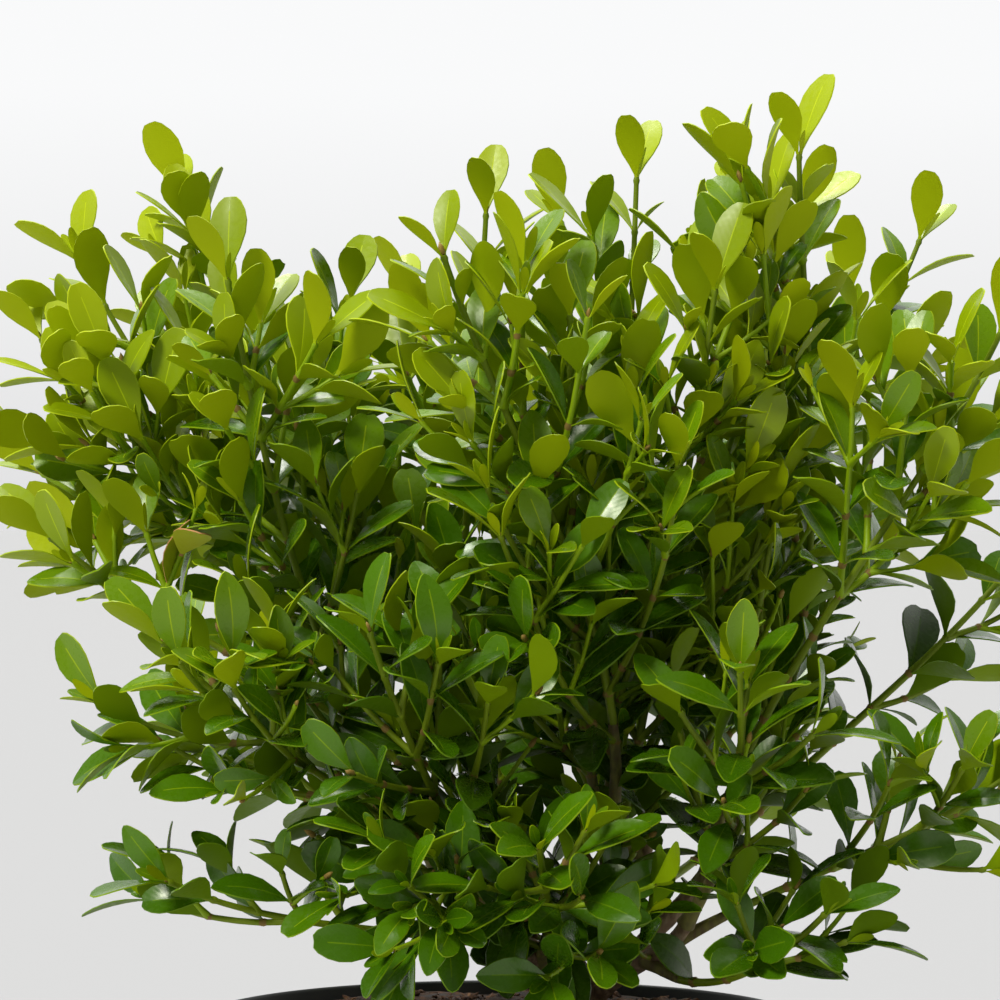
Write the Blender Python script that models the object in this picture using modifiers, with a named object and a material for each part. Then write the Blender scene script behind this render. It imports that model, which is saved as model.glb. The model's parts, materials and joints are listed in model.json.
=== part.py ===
"""A young, unclipped boxwood shrub in its round nursery pot.

Metres, +Z up. The pot stands on the XY plane with its axis on Z. A short
trunk rises from the soil and forks into stems, each stem carries boughs, and
each bough carries one mass of foliage. A bough and the leader of its mass,
the shoot that the rest of the mass grows from, are two stretches of one
arch, which runs from the fork to the furthest tip of the mass.
"""

import math
import random

import bmesh
import bpy
import numpy as np
from mathutils import Matrix, Quaternion, Vector, geometry
from mathutils.bvhtree import BVHTree

UP = Vector((0, 0, 1))
GAP = 0.0003  # clear distance between two sub-parts that meet
SEED = 41

# ---------------------------------------------------------------- pot and soil
POT_HEIGHT = 0.152
POT_BASE_RADIUS = 0.070
POT_TOP_RADIUS = 0.0885  # of the wall, just under the rim
POT_WALL = 0.0014
RIM_RADIUS = 0.0945
RIM_BAND = 0.014  # height of the band round the top
RIM_TAPER = 0.0006  # the band is this much narrower at its lower edge
FOOT_CHAMFER = 0.003
POT_SIDES = 36
DRAIN_HOLES = 6
DRAIN_RADIUS = 0.0055
DRAIN_CIRCLE = 0.058  # radius of the circle that the holes stand on
DRAIN_SIDES = 8
SOIL_TOP = 0.148

# ---------------------------------------------------------------- limbs
TRUNK_FOOT = Vector((0.026, 0.000, SOIL_TOP + GAP))
TRUNK_FORK = Vector((0.029, 0.002, 0.158))
TRUNK_FLARE = 0.004  # height of the root flare
TRUNK_RADII = (0.0092, 0.0060, 0.0052, 0.0044)  # evenly spaced, foot to fork
STEM_RADII = (0.0029, 0.0021)  # at the fork, at the end
BOUGH_RADII = (0.0020, 0.0015)
STEM_STUB = 0.012  # length of a stem that is one with the trunk
BOUGH_STUB = 0.009  # length of a bough that is one with its stem
LEAD = 0.012  # straight first step of an arch
LEAST_FORK = math.radians(38)
MOST_FORK = math.radians(80)
LIMB_SIDES = 5
STEM_POINTS = 6
ARCH_POINTS = 9
BOUGH_SHARE = 0.17  # of an arch, from the fork; its foliage takes the rest

# name: end of the stem
STEMS = {
    "left": (-0.020, -0.006, 0.200),
    "front_left": (0.001, -0.036, 0.184),
    "middle": (0.034, -0.032, 0.212),
    "front_right": (0.056, -0.034, 0.184),
    "right": (0.070, 0.000, 0.204),
    "back_right": (0.048, 0.038, 0.206),
    "back_left": (0.002, 0.038, 0.206),
}

# name: stem, where along it the bough leaves, furthest tip of the foliage
BOUGHS = {
    "left_mid": ("left", 1.00, (-0.086, -0.040, 0.400)),
    "left_far": ("left", 0.80, (-0.154, 0.010, 0.382)),
    "left_side": ("left", 0.60, (-0.150, -0.035, 0.318)),
    "left_bend": ("left", 0.42, (-0.110, -0.085, 0.288)),
    "left_front": ("front_left", 1.00, (-0.042, -0.112, 0.294)),
    "left_low": ("front_left", 0.78, (-0.112, -0.092, 0.214)),
    "front_low": ("front_left", 0.58, (0.010, -0.128, 0.228)),
    "front_bottom": ("front_left", 0.40, (-0.044, -0.106, 0.226)),
    "centre_front": ("middle", 1.00, (-0.022, -0.086, 0.404)),
    "centre_up": ("middle", 0.78, (0.020, -0.070, 0.388)),
    "centre_top": ("middle", 0.56, (0.043, 0.000, 0.434)),
    "right_inner": ("middle", 0.36, (0.066, -0.062, 0.396)),
    "right_front": ("front_right", 1.00, (0.068, -0.118, 0.282)),
    "right_low": ("front_right", 0.78, (0.166, -0.060, 0.246)),
    "right_bottom": ("front_right", 0.56, (0.104, -0.100, 0.208)),
    "right_top": ("right", 1.00, (0.090, -0.040, 0.438)),
    "right_mid": ("right", 0.80, (0.156, -0.060, 0.382)),
    "right_far": ("right", 0.60, (0.176, 0.030, 0.312)),
    "back_right_top": ("back_right", 1.00, (0.146, 0.085, 0.419)),
    "back_middle": ("back_right", 0.80, (-0.036, 0.115, 0.400)),
    "back_right_low": ("back_right", 0.60, (0.112, 0.145, 0.255)),
    "back_top": ("back_left", 1.00, (-0.004, 0.040, 0.426)),
    "back_left_top": ("back_left", 0.82, (-0.110, 0.080, 0.432)),
    "left_top": ("back_left", 0.64, (-0.142, 0.030, 0.408)),
    "back_left_low": ("back_left", 0.46, (-0.115, 0.120, 0.280)),
}

# ---------------------------------------------------------------- shoots and leaves
LEAF_LENGTH = 0.037
LEAF_WIDTH = 0.023
LEAF_THICKNESS = 0.0015
LEAF_ROOT = 0.0004  # how far a leaf's root is sunk behind its shoot's axis
LEAF_WIDEST = 0.56  # share of the length
LEAF_THICKEST = 0.24
LEAF_NECK = 0.22  # share of the length that may cross the shoot it grows from
LEAF_ANGLE = math.radians(50)  # between a leaf and its shoot
TIP_ANGLE = math.radians(30)  # the last pair stands closer together
LEAF_TRIES = 5
TIP_LEAVES = 0.032  # how far the last pair reaches past its leader
NODE_SPACING = 0.022  # between the pairs of leaves on a shoot
FIRST_NODE = 0.007  # of a leader
FIRST_PAIR = 0.016  # of a side shoot
SHOOT_END = 0.001  # a shoot ends this far past its last pair
LEADER_RADII = (0.0015, 0.0010)
SHOOT_RADII = (0.0012, 0.0009)
SHOOT_ANGLE = math.radians(44)
SHOOT_BASE = 0.018  # a side shoot is this long, and a share of the leader beyond it
SHOOT_SHARE = 0.46
SHOOT_STEPS = 3
SHOOT_LIFT = 0.26  # how far each step of a side shoot bends towards the light
SHOOT_STRAY = 0.06
SHORTEST_SHOOT = 0.016
TWIG_SIDES = 3
SPACE_MARGIN = 0.0032  # a mass keeps this much nearer to its own leader than to another
LIMB_CLEARANCE = 0.0012
LOWEST_LEAF = POT_HEIGHT + 0.003


# ---------------------------------------------------------------- scene and materials
def clear_scene():
    for scene_object in list(bpy.data.objects):
        bpy.data.objects.remove(scene_object, do_unlink=True)


def new_collection(name):
    collection = bpy.data.collections.new(name)
    bpy.context.scene.collection.children.link(collection)
    return collection


def add_object(name, data, collection):
    made = bpy.data.objects.new(name, data)
    collection.objects.link(made)
    return made


def make_helper(scene_object):
    """Keep a cutter or a guide out of the render."""
    scene_object.hide_render = True
    scene_object.display_type = "WIRE"


def finish(name, colour, roughness):
    material = bpy.data.materials.new(name)
    material.use_nodes = True
    shader = material.node_tree.nodes["Principled BSDF"]
    shader.inputs["Base Color"].default_value = (*colour, 1)
    shader.inputs["Roughness"].default_value = roughness
    return material


# ---------------------------------------------------------------- pot and soil
def turned(name, profile, collection):
    """A body turned round Z from a profile of (radius, height) points."""
    mesh = bpy.data.meshes.new(name)
    edges = [(i, i + 1) for i in range(len(profile) - 1)]
    mesh.from_pydata([(radius, 0, height) for radius, height in profile], edges, [])
    body = add_object(name, mesh, collection)
    screw = body.modifiers.new("Turn", "SCREW")
    screw.axis = "Z"
    screw.steps = screw.render_steps = POT_SIDES
    screw.use_merge_vertices = True
    screw.merge_threshold = 0.00001
    screw.use_smooth_shade = True
    return body


def add_pot(collection, cutters):
    """The pot: a tapering wall, a stepped-out band round the rim and a flat underside."""
    band_foot = POT_HEIGHT - RIM_BAND
    slope = (POT_TOP_RADIUS - POT_BASE_RADIUS) / band_foot
    profile = [
        (0, POT_WALL),
        (POT_BASE_RADIUS - POT_WALL, POT_WALL),
        (POT_TOP_RADIUS - POT_WALL, band_foot + POT_WALL),
        (RIM_RADIUS - RIM_TAPER - POT_WALL, band_foot + POT_WALL),
        (RIM_RADIUS - POT_WALL, POT_HEIGHT),
        (RIM_RADIUS, POT_HEIGHT),
        (RIM_RADIUS - RIM_TAPER, band_foot),
        (POT_TOP_RADIUS, band_foot),
        (POT_BASE_RADIUS + slope * FOOT_CHAMFER, FOOT_CHAMFER),
        (POT_BASE_RADIUS - FOOT_CHAMFER, 0),
        (0, 0),
    ]
    pot = turned("pot", profile, collection)
    pot.data.materials.append(finish("black plastic", (0.012, 0.013, 0.015), 0.45))
    for index in range(DRAIN_HOLES):
        turn = 2 * math.pi * (index + 0.5) / DRAIN_HOLES
        place = (DRAIN_CIRCLE * math.cos(turn), DRAIN_CIRCLE * math.sin(turn), 0)
        bpy.ops.mesh.primitive_cylinder_add(
            vertices=DRAIN_SIDES, radius=DRAIN_RADIUS, depth=4 * POT_WALL, location=place
        )
        cutter = bpy.context.object
        cutter.name = f"drain_cutter_{index + 1}"
        for holder in list(cutter.users_collection):
            holder.objects.unlink(cutter)
        cutters.objects.link(cutter)
        make_helper(cutter)
        cut = pot.modifiers.new(cutter.name, "BOOLEAN")
        cut.operation = "DIFFERENCE"
        cut.object = cutter


def add_soil(collection):
    """The potting mix, which fills the pot to a little below its rim."""
    band_foot = POT_HEIGHT - RIM_BAND
    ledge = band_foot + POT_WALL + GAP
    rim_side = RIM_RADIUS - RIM_TAPER - POT_WALL - GAP
    shoulder = POT_TOP_RADIUS - POT_WALL - GAP
    profile = [
        (0, SOIL_TOP),
        (rim_side, SOIL_TOP),
        (rim_side, ledge),
        (shoulder, ledge),
        (shoulder, band_foot),
        (POT_BASE_RADIUS - POT_WALL - GAP, POT_WALL + GAP),
        (0, POT_WALL + GAP),
    ]
    soil = turned("soil", profile, collection)
    soil.data.materials.append(finish("potting mix", (0.07, 0.035, 0.018), 0.95))


# ---------------------------------------------------------------- lines
def length_of(line):
    return sum((there - here).length for here, there in zip(line, line[1:]))


def stretch(line, start, end):
    """The part of a line between two distances along it."""
    kept, run = [], 0.0
    for here, there in zip(line, line[1:]):
        step = (there - here).length
        if run + step > start and run < end:
            if not kept:
                kept.append(here.lerp(there, max(0.0, start - run) / step))
            kept.append(here.lerp(there, min(1.0, (end - run) / step)))
        run += step
    return kept


def point_at(line, distance):
    """The point at a distance along a line, and the line's heading there."""
    for here, there in zip(line, line[1:]):
        step = (there - here).length
        if distance <= step:
            return here.lerp(there, distance / step), (there - here).normalized()
        distance -= step
    return line[-1].copy(), (line[-1] - line[-2]).normalized()


def branched(heading, side, angle):
    """A way that leaves a heading towards its side."""
    return (math.cos(angle) * heading + math.sin(angle) * side).normalized()


def arch(start, heading, end, count):
    """A limb's line: straight out along heading, then a curve that rises to its end."""
    lead = start + LEAD * heading
    span = (end - lead).length
    rise = ((end - lead).normalized() + 0.6 * UP).normalized()
    handles = lead + 0.34 * span * heading, end - 0.30 * span * rise
    curve = geometry.interpolate_bezier(lead, *handles, end, count)
    return [start] + [Vector(point) for point in curve]


def fork_heading(stem_heading, start, end):
    """The way from start to end, turned to leave the stem at a sound angle."""
    way = (end - start).normalized()
    aside = (way - way.dot(stem_heading) * stem_heading).normalized()
    angle = min(max(way.angle(stem_heading), LEAST_FORK), MOST_FORK)
    return branched(stem_heading, aside, angle)


class Limbs:
    """The lines of all limbs. A stub is the first stretch of a limb, and one with what carries it."""

    def __init__(self):
        self.stems, self.boughs, self.leaders = {}, {}, {}
        self.stubs = {"trunk": []}
        whole = {}
        for name, end in STEMS.items():
            heading = (Vector(end) - TRUNK_FORK).normalized()
            line = whole[name] = arch(TRUNK_FORK, heading, Vector(end), STEM_POINTS)
            self.stubs["trunk"].append(stretch(line, 0, STEM_STUB))
            self.stubs[name] = []
            self.stems[name] = stretch(line, STEM_STUB + GAP, length_of(line))
        for name, (stem, share, end) in BOUGHS.items():
            self.add_bough(name, stem, whole[stem], share, Vector(end))

    def add_bough(self, name, stem, stem_line, share, end):
        start, heading = point_at(stem_line, share * length_of(stem_line))
        first = GAP
        if share < 1:
            heading = fork_heading(heading, start, end)
            first = BOUGH_STUB + GAP
        line = arch(start, heading, end, ARCH_POINTS)
        if share < 1:
            self.stubs[stem].append(stretch(line, 0, BOUGH_STUB))
        whole = length_of(line)
        split = BOUGH_SHARE * whole
        self.boughs[name] = stretch(line, first, split)
        self.leaders[name] = stretch(line, split + GAP, whole - TIP_LEAVES)


# ---------------------------------------------------------------- solids from lines
def section(sides, cutters):
    """A round outline of unit radius, which tubes take as their section."""
    curve = bpy.data.curves.new("section", "CURVE")
    spline = curve.splines.new("POLY")
    spline.use_cyclic_u = True
    spline.points.add(sides - 1)
    for index, point in enumerate(spline.points):
        turn = 2 * math.pi * index / sides
        point.co = (math.cos(turn), math.sin(turn), 0, 1)
    outline = add_object(f"section_{sides}", curve, cutters)
    make_helper(outline)
    return outline


def tube(name, line, radii, outline, collection):
    """A closed tube along a line, whose radius runs evenly through radii."""
    curve = bpy.data.curves.new(name, "CURVE")
    curve.dimensions = "3D"
    curve.bevel_mode = "OBJECT"
    curve.bevel_object = outline
    curve.use_fill_caps = True
    spline = curve.splines.new("POLY")
    spline.points.add(len(line) - 1)
    steps = np.linspace(0, 1, len(radii))
    for index, (point, place) in enumerate(zip(spline.points, line)):
        point.co = (*place, 1)
        share = length_of(line[: index + 1]) / length_of(line)
        point.radius = np.interp(share, steps, radii)
    drawn = add_object(name, curve, collection)
    graph = bpy.context.evaluated_depsgraph_get()
    mesh = bpy.data.meshes.new_from_object(drawn.evaluated_get(graph))
    bpy.data.objects.remove(drawn)
    weld_caps(mesh)
    return add_object(name, mesh, collection)


def weld_caps(mesh):
    shape = bmesh.new()
    shape.from_mesh(mesh)
    bmesh.ops.remove_doubles(shape, verts=shape.verts, dist=0.000001)
    bmesh.ops.recalc_face_normals(shape, faces=shape.faces)
    shape.to_mesh(mesh)
    shape.free()


def fused(name, pieces, collection):
    """One closed body from pieces that cross each other."""
    base, *others = pieces
    joined = new_collection("joined")
    for piece in others:
        joined.objects.link(piece)
    union = base.modifiers.new("Fuse", "BOOLEAN")
    union.operation = "UNION"
    union.operand_type = "COLLECTION"
    union.collection = joined
    graph = bpy.context.evaluated_depsgraph_get()
    mesh = bpy.data.meshes.new_from_object(base.evaluated_get(graph))
    for piece in pieces:
        bpy.data.objects.remove(piece)
    bpy.data.collections.remove(joined)
    keep_largest_shell(mesh)
    return add_object(name, mesh, collection)


def keep_largest_shell(mesh):
    """Drop loose scraps, and the walls of any hollow that fusing has sealed."""
    shape = bmesh.new()
    shape.from_mesh(mesh)
    bmesh.ops.remove_doubles(shape, verts=shape.verts, dist=0.000002)
    bmesh.ops.triangulate(shape, faces=shape.faces)
    left, shells = set(shape.faces), []
    while left:
        shell, edge_of_shell = [], [left.pop()]
        while edge_of_shell:
            face = edge_of_shell.pop()
            shell.append(face)
            near = {other for edge in face.edges for other in edge.link_faces} & left
            left -= near
            edge_of_shell += near
        shells.append(shell)
    shells.sort(key=len)
    scraps = [face for shell in shells[:-1] for face in shell]
    bmesh.ops.delete(shape, geom=scraps, context="FACES")
    shape.to_mesh(mesh)
    shape.free()


# ---------------------------------------------------------------- room for foliage
class Skins:
    """The skins of many tubes, to measure how near a point comes to each."""

    def __init__(self):
        self.starts, self.ways, self.radii, self.owners = [], [], [], []

    def add(self, line, radius, owner):
        for here, there in zip(line, line[1:]):
            self.starts.append(here)
            self.ways.append(there - here)
            self.radii.append(radius)
            self.owners.append(owner)

    def distances(self, points):
        """A row for each point, with its distance to each straight piece of a tube."""
        starts, ways = np.array(self.starts), np.array(self.ways)
        points = np.array(points)[:, None, :]
        share = ((points - starts) * ways).sum(axis=2) / (ways**2).sum(axis=1)
        nearest = starts + np.clip(share, 0, 1)[..., None] * ways
        return np.linalg.norm(points - nearest, axis=2) - np.array(self.radii)


class Space:
    """Where one mass may grow: nearest to its own leader, clear of limbs and pot."""

    def __init__(self, name, leaders, limbs):
        self.own = np.array(leaders.owners) == name
        self.leaders, self.limbs = leaders, limbs

    def holds(self, points):
        away = self.leaders.distances(points)
        own, other = away[:, self.own].min(axis=1), away[:, ~self.own].min(axis=1)
        return (
            (own + SPACE_MARGIN < other).all()
            and self.limbs.distances(points).min() > LIMB_CLEARANCE
            and min(point[2] for point in points) > LOWEST_LEAF
        )


def skins_of(limbs):
    """The skins of all limbs, and those of the leaders, which have no thickness here."""
    wood, leaders = Skins(), Skins()
    wood.add([TRUNK_FOOT, TRUNK_FORK], TRUNK_RADII[1], "trunk")
    for name, line in limbs.stems.items():
        wood.add(line, STEM_RADII[0], name)
    for name, line in limbs.boughs.items():
        wood.add(line, BOUGH_RADII[0], name)
    for name, lines in limbs.stubs.items():
        radius = STEM_RADII[0] if name == "trunk" else BOUGH_RADII[0]
        for line in lines:
            wood.add(line, radius, name)
    for name, line in limbs.leaders.items():
        leaders.add(line, 0, name)
    return wood, leaders


# ---------------------------------------------------------------- foliage
def leaf_mesh():
    """A plate of eight faces along +X, broadest past its middle and thickest near its root."""
    shape = bmesh.new()
    bmesh.ops.create_uvsphere(shape, u_segments=4, v_segments=2, radius=1)
    for vertex in shape.verts:
        x, y, z = vertex.co
        if abs(x) > 0.5:
            share = 0 if x < 0 else 1
        else:
            share = LEAF_WIDEST if abs(y) > 0.5 else LEAF_THICKEST
        vertex.co.x = share * (LEAF_LENGTH + LEAF_ROOT) - LEAF_ROOT
        vertex.co.y = y * LEAF_WIDTH / 2
        vertex.co.z = z * LEAF_THICKNESS / 2
    mesh = bpy.data.meshes.new("leaf")
    shape.to_mesh(mesh)
    shape.free()
    return mesh


def leaf_matrix(root, along, face, size):
    """Place a leaf with its root at a point, its length along a way and its face up to another."""
    across = face.cross(along).normalized()
    turn = Matrix((along, across, along.cross(across))).transposed().to_4x4()
    return Matrix.Translation(root) @ turn @ Matrix.Scale(size, 4)


def leaf_points(mesh, matrix):
    """The corners of a leaf and the middles of its edges."""
    corners = [matrix @ vertex.co for vertex in mesh.vertices]
    middles = [(corners[a] + corners[b]) / 2 for a, b in (edge.vertices for edge in mesh.edges)]
    return corners + middles


def blade_tree(matrix):
    """A leaf's blade past its neck, to test what it crosses."""
    outline = [(LEAF_NECK, 0), (LEAF_WIDEST, 0.5), (1, 0), (LEAF_WIDEST, -0.5)]
    corners = [matrix @ Vector((x * LEAF_LENGTH, y * LEAF_WIDTH, 0)) for x, y in outline]
    return BVHTree.FromPolygons(corners, [(0, 1, 2, 3)])


def mesh_tree(mesh):
    corners = [vertex.co for vertex in mesh.vertices]
    return BVHTree.FromPolygons(corners, [tuple(face.vertices) for face in mesh.polygons])


def nodes_along(line, first, turn):
    """Place, heading and side of each pair of leaves on a shoot, each a quarter turn on."""
    last = length_of(line) - SHOOT_END
    count = max(1, round((last - first) / NODE_SPACING))
    nodes = []
    for index in range(count + 1):
        place, heading = point_at(line, first + (last - first) * index / count)
        level = heading.cross(UP).normalized()
        nodes.append((place, heading, Quaternion(heading, turn + index * math.pi / 2) @ level))
    return nodes


class Mass:
    """One mass of foliage: a leader, with side shoots and pairs of leaves that branch from it."""

    def __init__(self, name, leader, space, leaf):
        self.name, self.leader, self.space, self.leaf = name, leader, space, leaf
        self.rng = random.Random(f"{SEED} {name}")
        self.turn = self.rng.uniform(0, math.pi)
        self.shoots, self.sites, self.matrices = [], [], []

    def grow_shoots(self):
        """A side shoot takes the place of one leaf of each pair on the leader, but the last."""
        nodes = nodes_along(self.leader, FIRST_NODE, self.turn)
        for index, (place, heading, side) in enumerate(nodes[:-1]):
            side *= self.rng.choice((-1, 1))
            beyond = length_of(self.leader) * (1 - index / (len(nodes) - 1))
            length = (SHOOT_BASE + SHOOT_SHARE * beyond) * self.rng.uniform(0.85, 1.15)
            line = self.side_shoot(place, branched(heading, side, SHOOT_ANGLE), length)
            self.sites.append((place, heading, -side, LEAF_ANGLE))
            if length_of(line) > SHORTEST_SHOOT:
                self.shoots.append(line)
            else:
                self.sites.append((place, heading, side, LEAF_ANGLE))
        place, heading, side = nodes[-1]
        self.sites += [(place, heading, way, TIP_ANGLE) for way in (side, -side)]

    def side_shoot(self, start, heading, length):
        """A line that bends towards the light, and stops where it would leave the space."""
        line = [start]
        for _ in range(SHOOT_STEPS):
            stray = Vector([self.rng.uniform(-1, 1) for _ in range(3)])
            heading = (heading + SHOOT_LIFT * UP + SHOOT_STRAY * stray).normalized()
            ahead = line[-1] + length / SHOOT_STEPS * heading
            if not self.space.holds([line[-1].lerp(ahead, 0.5), ahead]):
                break
            line.append(ahead)
        return line

    def find_leaf_sites(self):
        """The pairs on the side shoots come first, as they reach furthest."""
        on_shoots = []
        for line in self.shoots:
            nodes = nodes_along(line, FIRST_PAIR, self.turn)
            for index, (place, heading, side) in enumerate(nodes):
                angle = TIP_ANGLE if index == len(nodes) - 1 else LEAF_ANGLE
                on_shoots += [(place, heading, way, angle) for way in (side, -side)]
        self.sites = on_shoots + self.sites

    def place_leaves(self, taken):
        """Skip a leaf whose every try would cross something or leave the space."""
        for place, heading, side, angle in self.sites:
            for _ in range(LEAF_TRIES):
                along = branched(heading, side, angle * self.rng.uniform(0.75, 1.25))
                matrix = leaf_matrix(place, along, heading, self.rng.uniform(0.85, 1.05))
                blade = blade_tree(matrix)
                if any(blade.overlap(other) for other in taken):
                    continue
                if self.space.holds(leaf_points(self.leaf, matrix)):
                    self.matrices.append(matrix)
                    taken.append(blade)
                    break

    def build(self, outline, collection):
        """Fuse the mass into one body."""
        self.grow_shoots()
        self.find_leaf_sites()
        pieces = [tube(self.name, self.leader, LEADER_RADII, outline, collection)]
        for line in self.shoots:
            pieces.append(tube(self.name, line, SHOOT_RADII, outline, collection))
        self.place_leaves([mesh_tree(piece.data) for piece in pieces])
        for matrix in self.matrices:
            piece = add_object("leaf", self.leaf, collection)
            piece.matrix_world = matrix
            pieces.append(piece)
        return fused(f"foliage_{self.name}", pieces, collection)


# ---------------------------------------------------------------- the shrub
def add_wood(limbs, outline, collection):
    """The trunk and the stems, with the stubs of what they carry, and the boughs."""
    bark = finish("bark", (0.19, 0.12, 0.06), 0.8)
    young_bark = finish("young bark", (0.16, 0.17, 0.05), 0.7)
    foot = [TRUNK_FOOT, TRUNK_FOOT + TRUNK_FLARE * UP, TRUNK_FORK]
    pieces = [tube("trunk", foot, TRUNK_RADII, outline, collection)]
    for line in limbs.stubs["trunk"]:
        pieces.append(tube("stub", line, (STEM_RADII[0],) * 2, outline, collection))
    fused("trunk", pieces, collection).data.materials.append(bark)
    for name, stem in limbs.stems.items():
        pieces = [tube(name, stem, STEM_RADII, outline, collection)]
        for line in limbs.stubs[name]:
            pieces.append(tube("stub", line, (BOUGH_RADII[0],) * 2, outline, collection))
        fused(f"stem_{name}", pieces, collection).data.materials.append(bark)
    for name, line in limbs.boughs.items():
        bough = tube(f"bough_{name}", line, BOUGH_RADII, outline, collection)
        bough.data.materials.append(young_bark)


def add_foliage(limbs, outline, collection):
    green = finish("leaf", (0.07, 0.16, 0.015), 0.45)
    wood, leaders = skins_of(limbs)
    leaf = leaf_mesh()
    for name, leader in limbs.leaders.items():
        mass = Mass(name, leader, Space(name, leaders, wood), leaf)
        mass.build(outline, collection).data.materials.append(green)


def build():
    clear_scene()
    collection = new_collection("potted boxwood")
    cutters = new_collection("cutters")
    add_pot(collection, cutters)
    add_soil(collection)
    limbs = Limbs()
    add_wood(limbs, section(LIMB_SIDES, cutters), collection)
    add_foliage(limbs, section(TWIG_SIDES, cutters), collection)


build()
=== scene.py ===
"""The looks of a young, unclipped boxwood shrub in its round nursery pot.

Metres, +Z up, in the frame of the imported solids. The wood follows the same
arches as the solids, and the foliage grows on from it by the same rule,
carried to finer twigs and to leaves of their real size.
"""

import json
import logging
import math
import random
from collections import defaultdict
from collections.abc import Iterable, Iterator, Sequence
from dataclasses import dataclass, field
from enum import Enum
from itertools import pairwise
from typing import Any

import bmesh
import bpy
import numpy as np
from mathutils import Matrix, Quaternion, Vector, geometry, noise
from mathutils.bvhtree import BVHTree

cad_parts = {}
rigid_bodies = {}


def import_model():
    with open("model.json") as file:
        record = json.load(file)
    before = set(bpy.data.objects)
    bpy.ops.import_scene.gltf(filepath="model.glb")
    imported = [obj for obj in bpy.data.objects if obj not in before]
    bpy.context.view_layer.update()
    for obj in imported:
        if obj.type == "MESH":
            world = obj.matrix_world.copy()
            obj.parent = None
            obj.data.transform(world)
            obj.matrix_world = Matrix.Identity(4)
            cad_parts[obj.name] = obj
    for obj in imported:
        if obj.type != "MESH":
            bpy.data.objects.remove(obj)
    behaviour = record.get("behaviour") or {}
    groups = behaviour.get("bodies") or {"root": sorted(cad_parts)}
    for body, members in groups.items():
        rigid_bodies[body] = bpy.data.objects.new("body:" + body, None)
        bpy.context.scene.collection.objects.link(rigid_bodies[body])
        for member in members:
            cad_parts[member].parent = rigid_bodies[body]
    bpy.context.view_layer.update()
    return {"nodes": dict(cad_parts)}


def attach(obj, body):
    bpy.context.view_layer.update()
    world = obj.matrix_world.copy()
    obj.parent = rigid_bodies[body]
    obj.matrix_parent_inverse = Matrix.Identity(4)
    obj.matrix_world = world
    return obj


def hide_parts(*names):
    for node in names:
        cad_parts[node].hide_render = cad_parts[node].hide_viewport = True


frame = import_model()

LOG = logging.getLogger("boxwood")
BODY = "root"
UP = Vector((0, 0, 1))
BACK = Vector((0, 1, 0))
MM = 0.001

Line = list[Vector]
Place = tuple[float, float, float]
Colour = tuple[float, float, float]
Pair = tuple[float, float]
Socket = bpy.types.NodeSocket

NOISE_RANGE: Pair = (0.3, 0.7)
CREASE = math.radians(40)
TINY = 1e-6


class Slot(Enum):
    """The material slots of the record."""

    PLASTIC = "black_plastic"
    SOIL = "potting_mix"
    BARK = "bark"
    YOUNG_BARK = "young_bark"
    FOLIAGE = "foliage"


class Tone(Enum):
    """How old a leaf looks, with painted light and shade: from the shaded inside of the crown, painted
    darkest, to the newest tips.
    """

    # The darkest tones are partly painted shade, for leaves low and deep inside the crown.
    SHADE = 0
    OLD = 1
    MATURE = 2
    FRESH = 3
    YOUNG = 4
    NEW = 5
    DRY = 6


class Side(Enum):
    """What a face of a leaf belongs to; the edge is the margin, the midrib and the petiole."""

    UPPER = 0
    UNDER = 1
    EDGE = 2


class Age(Enum):
    """How old the skin of a limb or shoot is at a point."""

    YOUNG = 0
    OLD = 1


# ================================================================ node trees
class Graph:
    """A node tree that is being built, for a material or for geometry."""

    def __init__(self, tree: bpy.types.NodeTree) -> None:
        """Take over an empty or a new tree."""
        self.tree = tree

    def add(self, kind: str, inputs: dict[Any, Any] | None = None, **settings: Any) -> bpy.types.Node:
        """Add a node.

        Args:
            kind: The node's type name.
            inputs: A value or an output socket for each input, by name or index.
            settings: Values for the node's own properties.

        Returns:
            The node.
        """
        node = self.tree.nodes.new(kind)
        for name, value in settings.items():
            setattr(node, name, value)
        for name, value in (inputs or {}).items():
            if isinstance(value, Socket):
                self.tree.links.new(value, node.inputs[name])
            else:
                node.inputs[name].default_value = value
        return node

    def reckon(self, operation: str, *values: Any) -> Socket:
        """Reckon with numbers and sockets."""
        return self.add("ShaderNodeMath", dict(enumerate(values)), operation=operation).outputs[0]

    def ramp(self, factor: Socket, stops: Sequence[float], colours: Sequence[Colour]) -> Socket:
        """Colour a factor.

        Args:
            factor: The socket that runs from 0 to 1.
            stops: The places of the ramp's colours.
            colours: The colour at each place.

        Returns:
            The colour socket.
        """
        node = self.add("ShaderNodeValToRGB", {"Fac": factor})
        elements = node.color_ramp.elements
        while len(elements) < len(stops):
            elements.new(0.5)
        for element, place, colour in zip(elements, stops, colours):
            element.position = place
            element.color = (*colour, 1)
        return node.outputs["Color"]

    def spread(self, factor: Socket, low: float, high: float, known: Pair = NOISE_RANGE) -> Socket:
        """Map a factor from the range that it mostly keeps to, such as a noise's, onto another."""
        inputs = {0: factor, 1: known[0], 2: known[1], 3: low, 4: high}
        return self.add("ShaderNodeMapRange", inputs).outputs[0]


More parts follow.
